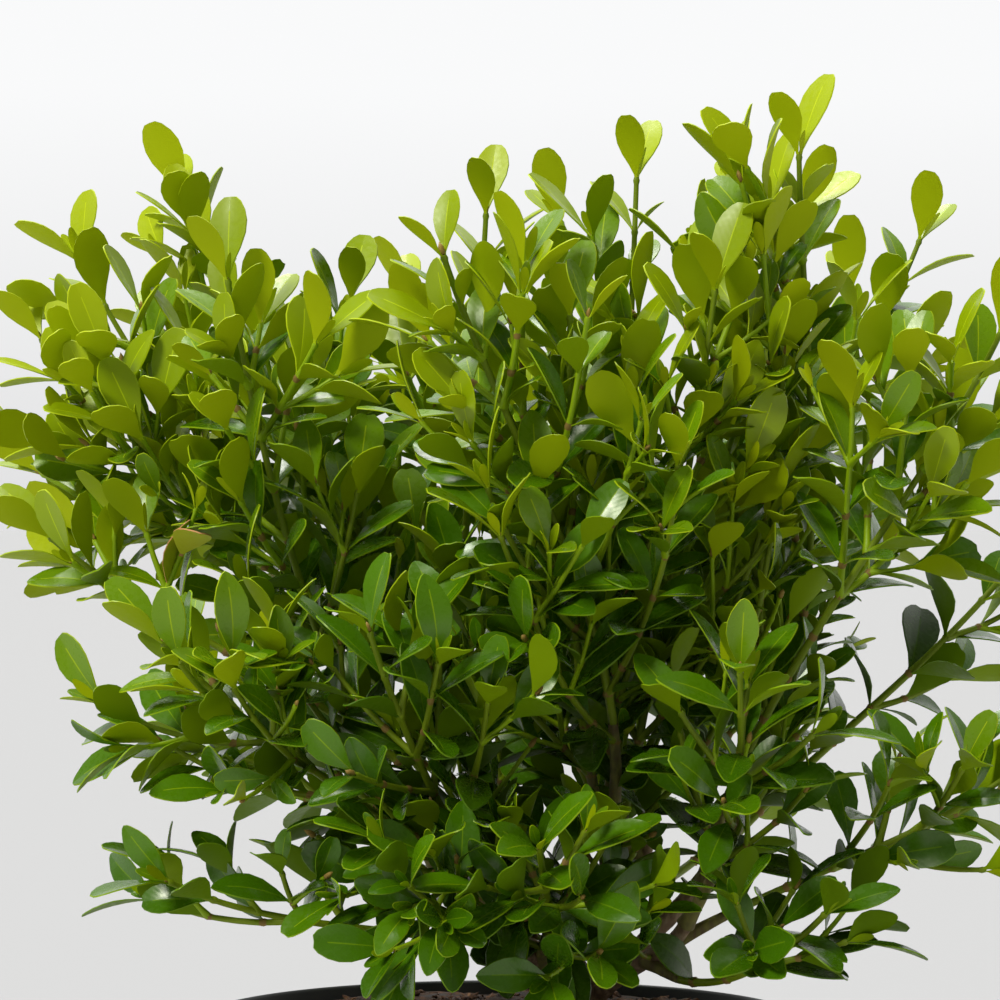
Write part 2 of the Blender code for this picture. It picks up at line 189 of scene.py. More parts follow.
@dataclass
class Surface:
    """A material under construction: a Principled shader over object coordinates."""

    name: str
    material: bpy.types.Material = field(init=False)
    graph: Graph = field(init=False)
    shader: bpy.types.Node = field(init=False)
    coords: Socket = field(init=False)

    def __post_init__(self) -> None:
        """Make the material and its first nodes."""
        self.material = bpy.data.materials.new(self.name)
        self.material.use_nodes = True
        tree = self.material.node_tree
        self.graph = Graph(tree)
        self.shader = tree.nodes["Principled BSDF"]
        self.coords = self.graph.add("ShaderNodeTexCoord").outputs["Object"]

    def noise(self, scale: float, detail: float, stretch: Place = (1, 1, 1)) -> Socket:
        """Add fractal noise.

        Args:
            scale: Patches to a metre.
            detail: Octaves.
            stretch: How much finer the pattern is along each axis.

        Returns:
            The factor socket.
        """
        mapped = self.graph.add("ShaderNodeMapping", {"Vector": self.coords, "Scale": stretch})
        inputs = {"Vector": mapped.outputs[0], "Scale": scale, "Detail": detail}
        return self.graph.add("ShaderNodeTexNoise", inputs).outputs["Fac"]

    def set(self, **values: Any) -> None:
        """Set or link sockets of the shader.

        Args:
            values: A value or a socket by each input's name, with underscores for its spaces.
        """
        for name, value in values.items():
            socket = self.shader.inputs[name.replace("_", " ")]
            if isinstance(value, Socket):
                self.graph.tree.links.new(value, socket)
            else:
                socket.default_value = (*value, 1) if socket.type == "RGBA" else value

    def bump(self, height: Socket, strength: float, distance: float) -> None:
        """Raise the surface by a height of so many metres."""
        inputs = {"Height": height, "Strength": strength, "Distance": distance}
        self.set(Normal=self.graph.add("ShaderNodeBump", inputs).outputs[0])


# ================================================================ finishes
@dataclass(frozen=True)
class SideLook:
    """How one side of a leaf takes the light: its roughness beyond the leaf's, its wax and its gloss."""

    side: Side
    rougher: float
    waxed: bool
    gloss: float


SIDE_LOOKS = (
    SideLook(Side.UPPER, rougher=0.00, waxed=True, gloss=0.35),
    SideLook(Side.UNDER, rougher=0.20, waxed=False, gloss=0.12),
    SideLook(Side.EDGE, rougher=0.10, waxed=False, gloss=0.25),
)


@dataclass(frozen=True)
class LeafFinish:
    """The three plain colours of one tone of leaf, and its gloss over faint side veins."""

    tone: Tone
    upper: Colour
    under: Colour
    edge: Colour
    roughness: float
    coat: float
    sheen: Colour = (0.97, 1.0, 0.70)
    coat_roughness: float = 0.20
    smoother: float = 0.05
    duller: float = 0.07
    wax_scale: float = 650.0
    veins: float = 62.0
    vein_slant: float = 1.3
    vein_height: float = 0.22
    bump: float = 0.22
    relief: float = 0.08

    def materials(self) -> list[bpy.types.Material]:
        """Return the materials of the upper side, the underside, and the margin and midrib."""
        return [self.dressed(*pair) for pair in zip(SIDE_LOOKS, (self.upper, self.under, self.edge))]

    def dressed(self, look: SideLook, colour: Colour) -> bpy.types.Material:
        """Make one side.

        Args:
            look: How it takes the light.
            colour: Its base colour.

        Returns:
            The material.
        """
        surface = Surface(f"leaf {self.tone.name.lower()} {look.side.name.lower()}")
        graph = surface.graph
        wax = surface.noise(self.wax_scale, 0)
        blade = graph.add("ShaderNodeAttribute", attribute_name="blade").outputs["Vector"]
        across, along, _ = graph.add("ShaderNodeSeparateXYZ", {0: blade}).outputs
        slant = graph.reckon("MULTIPLY_ADD", graph.reckon("ABSOLUTE", across), -self.vein_slant, along)
        veins = graph.reckon("SINE", graph.reckon("MULTIPLY", slant, self.veins))
        roughness = self.roughness + look.rougher
        surface.set(
            Base_Color=colour,
            Roughness=graph.spread(wax, roughness - self.smoother, roughness + self.duller),
            Coat_Weight=self.coat if look.waxed else 0.0,
            Coat_Roughness=self.coat_roughness,
            Specular_IOR_Level=look.gloss,
            Specular_Tint=self.sheen,
        )
        height = graph.reckon("MULTIPLY_ADD", veins, self.vein_height, wax)
        surface.bump(height, self.bump, self.relief * MM)
        return surface.material


LEAF_FINISHES = (
    # Painted shade in the darker tones and painted light in the lighter ones, besides the real colours of old
    # and new leaves.
    LeafFinish(
        Tone.SHADE, upper=(0.030, 0.078, 0.001), under=(0.080, 0.158, 0.002), edge=(0.065, 0.145, 0.002),
        roughness=0.26, coat=0.38,
    ),
    LeafFinish(
        Tone.OLD, upper=(0.056, 0.155, 0.001), under=(0.134, 0.237, 0.002), edge=(0.145, 0.268, 0.003),
        roughness=0.25, coat=0.38,
    ),
    LeafFinish(
        Tone.MATURE, upper=(0.086, 0.212, 0.001), under=(0.236, 0.354, 0.002), edge=(0.255, 0.400, 0.004),
        roughness=0.27, coat=0.32,
    ),
    LeafFinish(
        Tone.FRESH, upper=(0.156, 0.290, 0.001), under=(0.366, 0.472, 0.002), edge=(0.380, 0.505, 0.005),
        roughness=0.30, coat=0.24,
    ),
    LeafFinish(
        Tone.YOUNG, upper=(0.300, 0.410, 0.001), under=(0.445, 0.535, 0.003), edge=(0.500, 0.630, 0.006),
        roughness=0.34, coat=0.16, relief=0.05,
    ),
    LeafFinish(
        Tone.NEW, upper=(0.425, 0.528, 0.002), under=(0.510, 0.600, 0.004), edge=(0.560, 0.670, 0.008),
        roughness=0.38, coat=0.10, relief=0.04,
    ),
    LeafFinish(
        Tone.DRY, upper=(0.440, 0.450, 0.012), under=(0.560, 0.570, 0.025), edge=(0.540, 0.260, 0.100),
        roughness=0.45, coat=0.0, relief=0.2,
    ),
)


@dataclass(frozen=True)
class TwigFinish:
    """Smooth skin of a shoot, in one plain colour for its age."""

    name: str
    colour: Colour
    roughness: float
    smoother: float = 0.08
    duller: float = 0.10
    gloss: float = 0.3
    scale: float = 1500.0
    bump: float = 0.4
    relief: float = 0.15

    def material(self) -> bpy.types.Material:
        """Make the material.

        Returns:
            The material.
        """
        surface = Surface(self.name)
        grain = surface.noise(self.scale, 1)
        low, high = self.roughness - self.smoother, self.roughness + self.duller
        roughness = surface.graph.spread(grain, low, high)
        surface.set(Base_Color=self.colour, Roughness=roughness, Specular_IOR_Level=self.gloss)
        surface.bump(grain, self.bump, self.relief * MM)
        return surface.material


GREEN_TWIG = TwigFinish("green twig", (0.290, 0.440, 0.003), 0.46)
OLIVE_TWIG = TwigFinish("olive twig", (0.200, 0.280, 0.005), 0.52)
BROWN_NODE = TwigFinish("brown node", (0.270, 0.175, 0.040), 0.65)
BUD_SCALE = TwigFinish("bud scale", (0.360, 0.230, 0.050), 0.55)


@dataclass(frozen=True)
class BarkFinish:
    """Bark in three colours, cracked along the limb."""

    name: str
    light: Colour
    middle: Colour
    dark: Colour
    relief: float
    plates: float = 190.0
    cracks: float = 650.0
    crack_stretch: Place = (1, 1, 0.25)
    stops: Place = (0.36, 0.50, 0.64)
    roughness: Pair = (0.62, 0.90)
    bump: float = 0.7

    def material(self) -> bpy.types.Material:
        """Make the material.

        Returns:
            The material.
        """
        surface = Surface(self.name)
        graph = surface.graph
        plates = surface.noise(self.plates, 5)
        cracks = surface.noise(self.cracks, 6, self.crack_stretch)
        mean = graph.reckon("MULTIPLY", graph.reckon("ADD", plates, cracks), 0.5)
        colour = graph.ramp(mean, self.stops, (self.dark, self.middle, self.light))
        surface.set(Base_Color=colour, Roughness=graph.spread(cracks, *self.roughness))
        surface.bump(cracks, self.bump, self.relief * MM)
        return surface.material


OLD_BARK = BarkFinish("old bark", (0.42, 0.31, 0.19), (0.25, 0.16, 0.085), (0.11, 0.065, 0.035), 0.6)
YOUNG_BARK = BarkFinish("young bark", (0.28, 0.26, 0.06), (0.19, 0.17, 0.045), (0.14, 0.09, 0.035), 0.3)


@dataclass(frozen=True)
class PlasticFinish:
    """Moulded black polypropylene with dust in its fine grain."""

    name: str = "moulded black plastic"
    colour: Colour = (0.010, 0.011, 0.013)
    dust: Colour = (0.045, 0.042, 0.038)
    stops: Pair = (0.45, 0.85)
    roughness: Pair = (0.34, 0.56)
    smears: float = 38.0
    grain: float = 2600.0
    bump: float = 0.35
    relief: float = 0.10

    def material(self) -> bpy.types.Material:
        """Make the material.

        Returns:
            The material.
        """
        surface = Surface(self.name)
        smear = surface.noise(self.smears, 5)
        grain = surface.noise(self.grain, 2)
        colour = surface.graph.ramp(smear, self.stops, (self.colour, self.dust))
        surface.set(Base_Color=colour, Roughness=surface.graph.spread(smear, *self.roughness))
        surface.bump(grain, self.bump, self.relief * MM)
        return surface.material


@dataclass(frozen=True)
class SoilFinish:
    """Crumbs of peat and bark, from near black to reddish brown."""

    name: str
    dark: Colour
    middle: Colour
    light: Colour
    crumbs: float
    grit: float = 3.0
    stops: Place = (0.38, 0.52, 0.68)
    roughness: Pair = (0.78, 0.98)
    bump: float = 0.8
    relief: float = 0.6

    def material(self) -> bpy.types.Material:
        """Make the material.

        Returns:
            The material.
        """
        surface = Surface(self.name)
        crumbs = surface.noise(self.crumbs, 5)
        colour = surface.graph.ramp(crumbs, self.stops, (self.dark, self.middle, self.light))
        surface.set(Base_Color=colour, Roughness=surface.graph.spread(crumbs, *self.roughness))
        surface.bump(surface.noise(self.crumbs * self.grit, 4), self.bump, self.relief * MM)
        return surface.material


PEAT = SoilFinish("peat", (0.012, 0.008, 0.005), (0.045, 0.022, 0.011), (0.110, 0.048, 0.020), 420)
BARK_CHIP = SoilFinish("bark chip", (0.030, 0.014, 0.008), (0.110, 0.048, 0.021), (0.230, 0.115, 0.050), 260)


# ================================================================ meshes
def shown(name: str, data: bpy.types.ID) -> bpy.types.Object:
    """Put a mesh, a lamp or a camera into the scene as an object at the origin.

    Args:
        name: The object's name.
        data: What it holds.

    Returns:
        The object.
    """
    made = bpy.data.objects.new(name, data)
    bpy.context.scene.collection.objects.link(made)
    return made


def mesh_of(name: str, points: Sequence[Any], edges: Sequence[Any], faces: Sequence[Any]) -> bpy.types.Mesh:
    """Make a mesh from lists, with smooth faces.

    Args:
        name: The mesh's name.
        points: Its points.
        edges: Pairs of points.
        faces: The points of each face.

    Returns:
        The mesh.
    """
    mesh = bpy.data.meshes.new(name)
    mesh.from_pydata([tuple(point) for point in points], edges, faces)
    mesh.polygons.foreach_set("use_smooth", [True] * len(mesh.polygons))
    return mesh


def finished(shape: bmesh.types.BMesh, name: str) -> bpy.types.Mesh:
    """Make a mesh from a finished shape, which is freed.

    Args:
        shape: The shape.
        name: The mesh's name.

    Returns:
        The mesh.
    """
    mesh = bpy.data.meshes.new(name)
    shape.to_mesh(mesh)
    shape.free()
    return mesh


def settled(piece: bpy.types.Object) -> bpy.types.Mesh:
    """Turn a piece and its modifier into a plain mesh.

    Args:
        piece: The piece, which holds the new mesh afterwards.

    Returns:
        The new mesh.
    """
    graph = bpy.context.evaluated_depsgraph_get()
    mesh = bpy.data.meshes.new_from_object(piece.evaluated_get(graph), depsgraph=graph)
    piece.modifiers.clear()
    piece.data = mesh
    return mesh


def polar(radius: float, turn: float) -> Pair:
    """Return both coordinates of a point round an axis."""
    return radius * math.cos(turn), radius * math.sin(turn)


def add_attribute(mesh: bpy.types.Mesh, name: str, kind: str, values: Iterable[Any]) -> None:
    """Store a value for each point of a mesh.

    Args:
        mesh: The mesh.
        name: The attribute's name.
        kind: FLOAT, INT or FLOAT_VECTOR.
        values: One number or vector for each point.
    """
    attribute = mesh.attributes.new(name, kind, "POINT")
    data = np.array([tuple(v) if kind == "FLOAT_VECTOR" else v for v in values])
    attribute.data.foreach_set("vector" if kind == "FLOAT_VECTOR" else "value", data.ravel())


def turned(name: str, profile: Sequence[Pair], sides: int) -> bpy.types.Mesh:
    """Turn a profile round Z into a closed body.

    Args:
        name: The mesh's name.
        profile: Points of radius and height, from the axis back to the axis.
        sides: Steps round.

    Returns:
        The mesh, its faces outwards.
    """
    shape = bmesh.new()
    rings = []
    for radius, height in profile:
        turns = [math.tau * i / sides for i in range(sides if radius > 0 else 1)]
        rings.append([shape.verts.new((*polar(radius, turn), height)) for turn in turns])
    for lower, upper in pairwise(rings):
        for i in range(sides):
            steps = ((lower, i), (lower, i + 1), (upper, i + 1), (upper, i))
            corners = [ring[k % len(ring)] for ring, k in steps]
            shape.faces.new(list(dict.fromkeys(corners)))
    bmesh.ops.recalc_face_normals(shape, faces=shape.faces)
    for face in shape.faces:
        face.smooth = True
    for edge in shape.edges:
        edge.smooth = edge.calc_face_angle(0) < CREASE
    return finished(shape, name)


class Recipe(Graph):
    """A Geometry Nodes tree with named inputs, run once over a mesh."""

    working_values = ("turn", "size", "form", "part", "girth", "age")

    def __init__(self, name: str, inputs: dict[str, str]) -> None:
        """Make the tree.

        Args:
            name: The tree's name.
            inputs: The kind of each named input, such as Material or Float.
        """
        super().__init__(bpy.data.node_groups.new(name, "GeometryNodeTree"))
        self.tree.interface.new_socket("Geometry", in_out="INPUT", socket_type="NodeSocketGeometry")
        for label, kind in inputs.items():
            self.tree.interface.new_socket(label, in_out="INPUT", socket_type=f"NodeSocket{kind}")
        self.tree.interface.new_socket("Geometry", in_out="OUTPUT", socket_type="NodeSocketGeometry")
        self.given = self.tree.nodes.new("NodeGroupInput").outputs

    def stored(self, name: str, kind: str = "FLOAT") -> Socket:
        """Return the values that the points carry under a name."""
        return self.add("GeometryNodeInputNamedAttribute", {"Name": name}, data_type=kind).outputs[0]

    def holds(self, name: str, option: Enum) -> Socket:
        """Return where a stored whole number stands for this option."""
        inputs = {2: self.stored(name, "INT"), 3: option.value}
        return self.add("FunctionNodeCompare", inputs, data_type="INT", operation="EQUAL").outputs[0]

    def painted(self, shape: Socket, material: str, where: Any = True) -> Socket:
        """Give faces the material of a named input."""
        inputs = {"Geometry": shape, "Selection": where, "Material": self.given[material]}
        return self.add("GeometryNodeSetMaterial", inputs).outputs[0]

    def realised(self, instances: Socket) -> Socket:
        """Turn instances into real faces."""
        return self.add("GeometryNodeRealizeInstances", {"Geometry": instances}).outputs[0]

    def placed(self, points: Socket, turn: Socket, size: Socket, picked: Socket | None = None) -> Socket:
        """Put a form from the collection that is given as Forms on each point.

        Args:
            points: The points.
            turn: Euler angles for each.
            size: A scale for each.
            picked: The number of the form for each, or nothing to go through them in turn.

        Returns:
            The forms, as real faces.
        """
        inputs = {"Collection": self.given["Forms"], "Separate Children": True, "Reset Children": True}
        forms = self.add("GeometryNodeCollectionInfo", inputs).outputs[0]
        rotation = self.add("FunctionNodeEulerToRotation", {"Euler": turn}).outputs[0]
        inputs = {"Points": points, "Instance": forms, "Pick Instance": True}
        inputs |= {"Rotation": rotation, "Scale": size}
        if picked is not None:
            inputs["Instance Index"] = picked
        return self.realised(self.add("GeometryNodeInstanceOnPoints", inputs).outputs[0])

    def finish(self, shape: Socket) -> None:
        """Make a socket the result of the tree."""
        self.add("NodeGroupOutput", {"Geometry": shape})

    def run(self, name: str, mesh: bpy.types.Mesh, values: dict[str, Any]) -> bpy.types.Object:
        """Run the tree over a mesh.

        Args:
            name: Name of the piece.
            mesh: What the tree starts from.
            values: A value for each named input.

        Returns:
            The piece, a plain mesh with no modifier.
        """
        piece = shown(name, mesh)
        modifier = piece.modifiers.new("Build", "NODES")
        modifier.node_group = self.tree
        for item in self.tree.interface.items_tree:
            if item.in_out == "INPUT" and item.name in values:
                modifier[item.identifier] = values[item.name]
        made = settled(piece)
        bpy.data.meshes.remove(mesh)
        for attribute in self.working_values:
            if attribute in made.attributes:
                made.attributes.remove(made.attributes[attribute])
        made.name = name
        return piece


def templates(name: str, meshes: Sequence[bpy.types.Mesh]) -> bpy.types.Collection:
    """Keep meshes to instance in a collection that isn't in the scene.

    Args:
        name: The collection's name.
        meshes: The meshes, in the order of their numbers.

    Returns:
        The collection.
    """
    collection = bpy.data.collections.new(name)
    for index, mesh in enumerate(meshes):
        collection.objects.link(bpy.data.objects.new(f"{name} {index:02d}", mesh))
    return collection


def discard(collection: bpy.types.Collection) -> None:
    """Remove a collection of templates and what it holds.

    Args:
        collection: The collection.
    """
    for template in list(collection.objects):
        bpy.data.objects.remove(template)
    bpy.data.collections.remove(collection)


def hand_over(piece: bpy.types.Object, slot: Slot, nodes: Iterable[str] = ()) -> None:
    """Attach a finished piece to its body, and hide the solids that it takes the place of.

    Args:
        piece: The piece.
        slot: Not used.
        nodes: Names of the solids that it takes the place of.
    """
    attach(piece, BODY)
    names = list(nodes)
    if names:
        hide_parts(*names)
    triangles = sum(len(face.vertices) - 2 for face in piece.data.polygons)
    LOG.info("%s: %d triangles", piece.name, triangles)


def nodes_named(prefix: str) -> list[str]:
    """Return the frame's nodes whose names start in one way."""
    return sorted(name for name in frame["nodes"] if name.startswith(prefix))


# ================================================================ lines
def length_of(line: Line) -> float:
    """Return the length of a line."""
    return sum((there - here).length for here, there in pairwise(line))


def stretch(line: Line, start: float, end: float) -> Line:
    """Cut a piece out of a line.

    Args:
        line: The line.
        start: Distance along it where the piece starts.
        end: Distance where it ends.

    Returns:
        The piece.
    """
    kept: Line = []
    run = 0.0
    for here, there in pairwise(line):
        step = (there - here).length
        if run + step > start and run < end:
            if not kept:
                kept.append(here.lerp(there, max(0.0, start - run) / step))
            kept.append(here.lerp(there, min(1.0, (end - run) / step)))
        run += step
    return kept


def point_at(line: Line, distance: float) -> tuple[Vector, Vector]:
    """Find the point at a distance along a line.

    Args:
        line: The line.
        distance: How far along it.

    Returns:
        The point, and the line's heading there.
    """
    for here, there in pairwise(line):
        step = (there - here).length
        if distance <= step:
            return here.lerp(there, distance / step), (there - here).normalized()
        distance -= step
    return line[-1].copy(), (line[-1] - line[-2]).normalized()


def branched(heading: Vector, side: Vector, angle: float) -> Vector:
    """Return a way that leaves a heading towards its side."""
    return (math.cos(angle) * heading + math.sin(angle) * side).normalized()


def between(ends: Pair, share: float) -> float:
    """Return the value at a share of the way from one end to the other."""
    return ends[0] + share * (ends[1] - ends[0])


# ================================================================ wood
@dataclass
class Limbs:
    """The lines of the wood: an arch runs from a fork to the furthest tip of what the limb carries."""

    foot: Place = (0.026, 0.000, 0.1483)
    fork: Place = (0.029, 0.002, 0.158)
    lead: float = 0.012
    rise: float = 0.6
    out_handle: float = 0.34
    in_handle: float = 0.30
    least_fork: float = math.radians(38)
    most_fork: float = math.radians(80)
    points: int = 24
    bough_share: float = 0.17
    tip_leaves: float = 0.022
    stem_ends: dict[str, Place] = field(
        default_factory=lambda: {
            "left": (-0.020, -0.006, 0.200),
            "front_left": (0.001, -0.036, 0.184),
            "middle": (0.034, -0.032, 0.212),
            "front_right": (0.056, -0.034, 0.184),
            "right": (0.070, 0.000, 0.204),
            "back_right": (0.048, 0.038, 0.206),
            "back_left": (0.002, 0.038, 0.206),
        }
    )
    reaches: dict[str, tuple[str, float, Place]] = field(
        default_factory=lambda: {
            "left_mid": ("left", 1.00, (-0.086, -0.040, 0.400)),
            "left_far": ("left", 0.80, (-0.154, 0.010, 0.382)),
            "left_side": ("left", 0.60, (-0.150, -0.035, 0.318)),
            "left_bend": ("left", 0.42, (-0.110, -0.085, 0.288)),
            "left_front": ("front_left", 1.00, (-0.042, -0.112, 0.294)),
            "left_low": ("front_left", 0.78, (-0.112, -0.092, 0.214)),
            "front_low": ("front_left", 0.58, (0.010, -0.128, 0.228)),
            "front_bottom": ("front_left", 0.40, (-0.044, -0.106, 0.226)),
            "centre_front": ("middle", 1.00, (-0.022, -0.086, 0.404)),
            "centre_up": ("middle", 0.78, (0.020, -0.070, 0.388)),
            "centre_top": ("middle", 0.56, (0.043, 0.000, 0.434)),
            "right_inner": ("middle", 0.36, (0.066, -0.062, 0.396)),
            "right_front": ("front_right", 1.00, (0.068, -0.118, 0.282)),
            "right_low": ("front_right", 0.78, (0.166, -0.060, 0.246)),
            "right_bottom": ("front_right", 0.56, (0.104, -0.100, 0.208)),
            "right_top": ("right", 1.00, (0.090, -0.040, 0.438)),
            "right_mid": ("right", 0.80, (0.156, -0.060, 0.382)),
            "right_far": ("right", 0.60, (0.176, 0.030, 0.312)),
            "back_right_top": ("back_right", 1.00, (0.146, 0.085, 0.419)),
            "back_middle": ("back_right", 0.80, (-0.036, 0.115, 0.400)),
            "back_right_low": ("back_right", 0.60, (0.112, 0.145, 0.255)),
            "back_top": ("back_left", 1.00, (-0.004, 0.040, 0.426)),
            "back_left_top": ("back_left", 0.82, (-0.110, 0.080, 0.432)),
            "left_top": ("back_left", 0.64, (-0.142, 0.030, 0.408)),
            "back_left_low": ("back_left", 0.46, (-0.115, 0.120, 0.280)),
        }
    )
    stems: dict[str, Line] = field(default_factory=dict)
    boughs: dict[str, Line] = field(default_factory=dict)
    leaders: dict[str, Line] = field(default_factory=dict)

    def __post_init__(self) -> None:
        """Draw every line."""
        fork = Vector(self.fork)
        for name, end in self.stem_ends.items():
            heading = (Vector(end) - fork).normalized()
            self.stems[name] = self.arch(fork, heading, Vector(end))
        for name, (stem, share, reach) in self.reaches.items():
            end = Vector(reach)
            start, heading = point_at(self.stems[stem], share * length_of(self.stems[stem]))
            if share < 1:
                heading = self.fork_heading(heading, start, end)
            line = self.arch(start, heading, end)
            whole = length_of(line)
            split = self.bough_share * whole
            self.boughs[name] = stretch(line, 0, split)
            self.leaders[name] = stretch(line, split, whole - self.tip_leaves)

    def arch(self, start: Vector, heading: Vector, end: Vector) -> Line:
        """Draw a limb: straight out along its heading, then a curve that rises to its end.

        Args:
            start: Its foot.
            heading: The way that it leaves its foot.
            end: Its end.

        Returns:
            The line.
        """
        lead = start + self.lead * heading
        span = (end - lead).length
        rise = ((end - lead).normalized() + self.rise * UP).normalized()
        handles = lead + self.out_handle * span * heading, end - self.in_handle * span * rise
        curve = geometry.interpolate_bezier(lead, *handles, end, self.points)
        return [start] + [Vector(point) for point in curve]

    def fork_heading(self, carrier: Vector, start: Vector, end: Vector) -> Vector:
        """Turn the way from start to end so that it leaves its carrier at a sound angle.

        Args:
            carrier: Heading of the limb that carries it.
            start: Where it leaves.
            end: Where it goes.

        Returns:
            The turned way.
        """
        way = (end - start).normalized()
        aside = (way - way.dot(carrier) * carrier).normalized()
        angle = min(max(way.angle(carrier), self.least_fork), self.most_fork)
        return branched(carrier, aside, angle)


@dataclass
class Tubes:
    """Lines with a girth and an age at each point, for a recipe that draws them as tubes."""

    points: Line = field(default_factory=list)
    edges: list[tuple[int, int]] = field(default_factory=list)
    girths: list[float] = field(default_factory=list)
    ages: list[Age] = field(default_factory=list)

    def add(self, line: Line, girths: Sequence[float], ages: Sequence[Age]) -> None:
        """Add a line.

        Args:
            line: The line.
            girths: The radius at each of its points.
            ages: The age at each of its points.
        """
        first = len(self.points)
        self.points += line
        self.edges += [(first + i, first + i + 1) for i in range(len(line) - 1)]
        self.girths += girths
        self.ages += ages

    def mesh(self, name: str) -> bpy.types.Mesh:
        """Make a mesh of edges.

        Args:
            name: The mesh's name.

        Returns:
            The mesh, with the girth and the age at each point.
        """
        mesh = mesh_of(name, self.points, self.edges, [])
        add_attribute(mesh, "girth", "FLOAT", self.girths)
        add_attribute(mesh, "age", "INT", [age.value for age in self.ages])
        return mesh


@dataclass(frozen=True)
class Grain:
    """The relief of bark, drawn out along Z."""

    stretch: Place = (1, 1, 0.3)
    detail: float = 4.0
    middle: float = 0.55


def tube_recipe(bark: Grain = Grain()) -> Recipe:
    """Set up tubes along lines, with a relief that follows the grain of the wood.

    Args:
        bark: The form of the relief.

    Returns:
        The recipe.
    """
    inputs = {"Sides": "Int", "Relief": "Float", "Grain": "Float", "Young": "Material", "Old": "Material"}
    recipe = Recipe("tubes on lines", inputs)
    curve = recipe.add("GeometryNodeMeshToCurve", {"Mesh": recipe.given["Geometry"]})
    inputs = {"Resolution": recipe.given["Sides"], "Radius": 1.0}
    ring = recipe.add("GeometryNodeCurvePrimitiveCircle", inputs)
    inputs = {"Curve": curve.outputs[0], "Profile Curve": ring.outputs[0], "Fill Caps": True}
    tube = recipe.add("GeometryNodeCurveToMesh", inputs | {"Scale": recipe.stored("girth")})
    place = recipe.add("GeometryNodeInputPosition").outputs[0]
    grain = recipe.add("ShaderNodeVectorMath", {0: place, 1: bark.stretch}, operation="MULTIPLY")
    inputs = {"Vector": grain.outputs[0], "Scale": recipe.given["Grain"], "Detail": bark.detail}
    height = recipe.add("ShaderNodeTexNoise", inputs).outputs[0]
    raised = recipe.reckon("MULTIPLY", recipe.reckon("SUBTRACT", height, bark.middle), recipe.given["Relief"])
    inputs = {0: recipe.add("GeometryNodeInputNormal").outputs[0], "Scale": raised}
    offset = recipe.add("ShaderNodeVectorMath", inputs, operation="SCALE")
    moved = recipe.add("GeometryNodeSetPosition", {"Geometry": tube.outputs[0], "Offset": offset.outputs[0]})
    solid = recipe.painted(recipe.realised(moved.outputs[0]), "Young")
    recipe.finish(recipe.painted(solid, "Old", recipe.holds("age", Age.OLD)))
    return recipe


@dataclass
class Wood:
    """The trunk, the stems and the boughs, in bark that cracks along them."""

    limbs: Limbs
    flare: float = 0.0125
    flare_fade: float = 0.0045
    sunk: float = 0.004
    trunk_radius: float = 0.0058
    trunk_steps: int = 14
    neck: float = 0.8
    neck_taper: float = 2.2
    stem_radii: Pair = (0.0032, 0.0023)
    bough_radii: Pair = (0.0022, 0.0015)
    collar: float = 1.35
    collar_fade: float = 0.004
    step: float = 0.0022
    relief: float = 0.0011
    young_relief: float = 0.35
    grain: float = 230.0
    sides: int = 14

    def add_trunk(self, tubes: Tubes) -> None:
        """Add the trunk, which flares at the mix and narrows to its fork.

        Args:
            tubes: What it is added to.
        """
        foot, fork = Vector(self.limbs.foot), Vector(self.limbs.fork)
        whole = (fork - foot).length
        places, girths = [], []
        for index in range(self.trunk_steps + 1):
            share = index / self.trunk_steps
            places.append((foot - self.sunk * UP).lerp(fork, share))
            flare = (self.flare - self.trunk_radius) * math.exp(-share * whole / self.flare_fade)
            narrowed = 1 if share < self.neck else 1 - self.neck_taper * (share - self.neck)
            girths.append((self.trunk_radius + flare) * narrowed)
        tubes.add(places, girths, [Age.OLD] * len(places))

    def add_limb(self, tubes: Tubes, line: Line, radii: Pair, age: Age) -> None:
        """Add a limb that tapers evenly from a swollen collar at its foot.

        Args:
            tubes: What it is added to.
            line: Its line.
            radii: Its radius at its foot and at its end.
            age: The age of its bark.
        """
        whole = length_of(line)
        count = max(3, round(whole / self.step))
        places, girths = [], []
        for index in range(count + 1):
            share = index / count
            swell = 1 + (self.collar - 1) * math.exp(-share * whole / self.collar_fade)
            places.append(point_at(line, share * whole)[0])
            girths.append(swell * between(radii, share))
        tubes.add(places, girths, [age] * len(places))

    def build(self, recipe: Recipe) -> None:
        """Build the trunk with its stems, and the boughs.

        Args:
            recipe: Draws tubes on lines.
        """
        old, young = Tubes(), Tubes()
        self.add_trunk(old)
        for line in self.limbs.stems.values():
            self.add_limb(old, line, self.stem_radii, Age.OLD)
        for line in self.limbs.boughs.values():
            self.add_limb(young, line, self.bough_radii, Age.YOUNG)
        values = {"Sides": self.sides, "Relief": self.relief, "Grain": self.grain}
        values |= {"Young": YOUNG_BARK.material(), "Old": OLD_BARK.material()}
        piece = recipe.run("trunk_and_stems", old.mesh("trunk_and_stems"), values)
        hand_over(piece, Slot.BARK, ["trunk"] + nodes_named("stem_"))
        values |= {"Relief": self.relief * self.young_relief}
        piece = recipe.run("boughs", young.mesh("boughs"), values)
        hand_over(piece, Slot.YOUNG_BARK, nodes_named("bough_"))


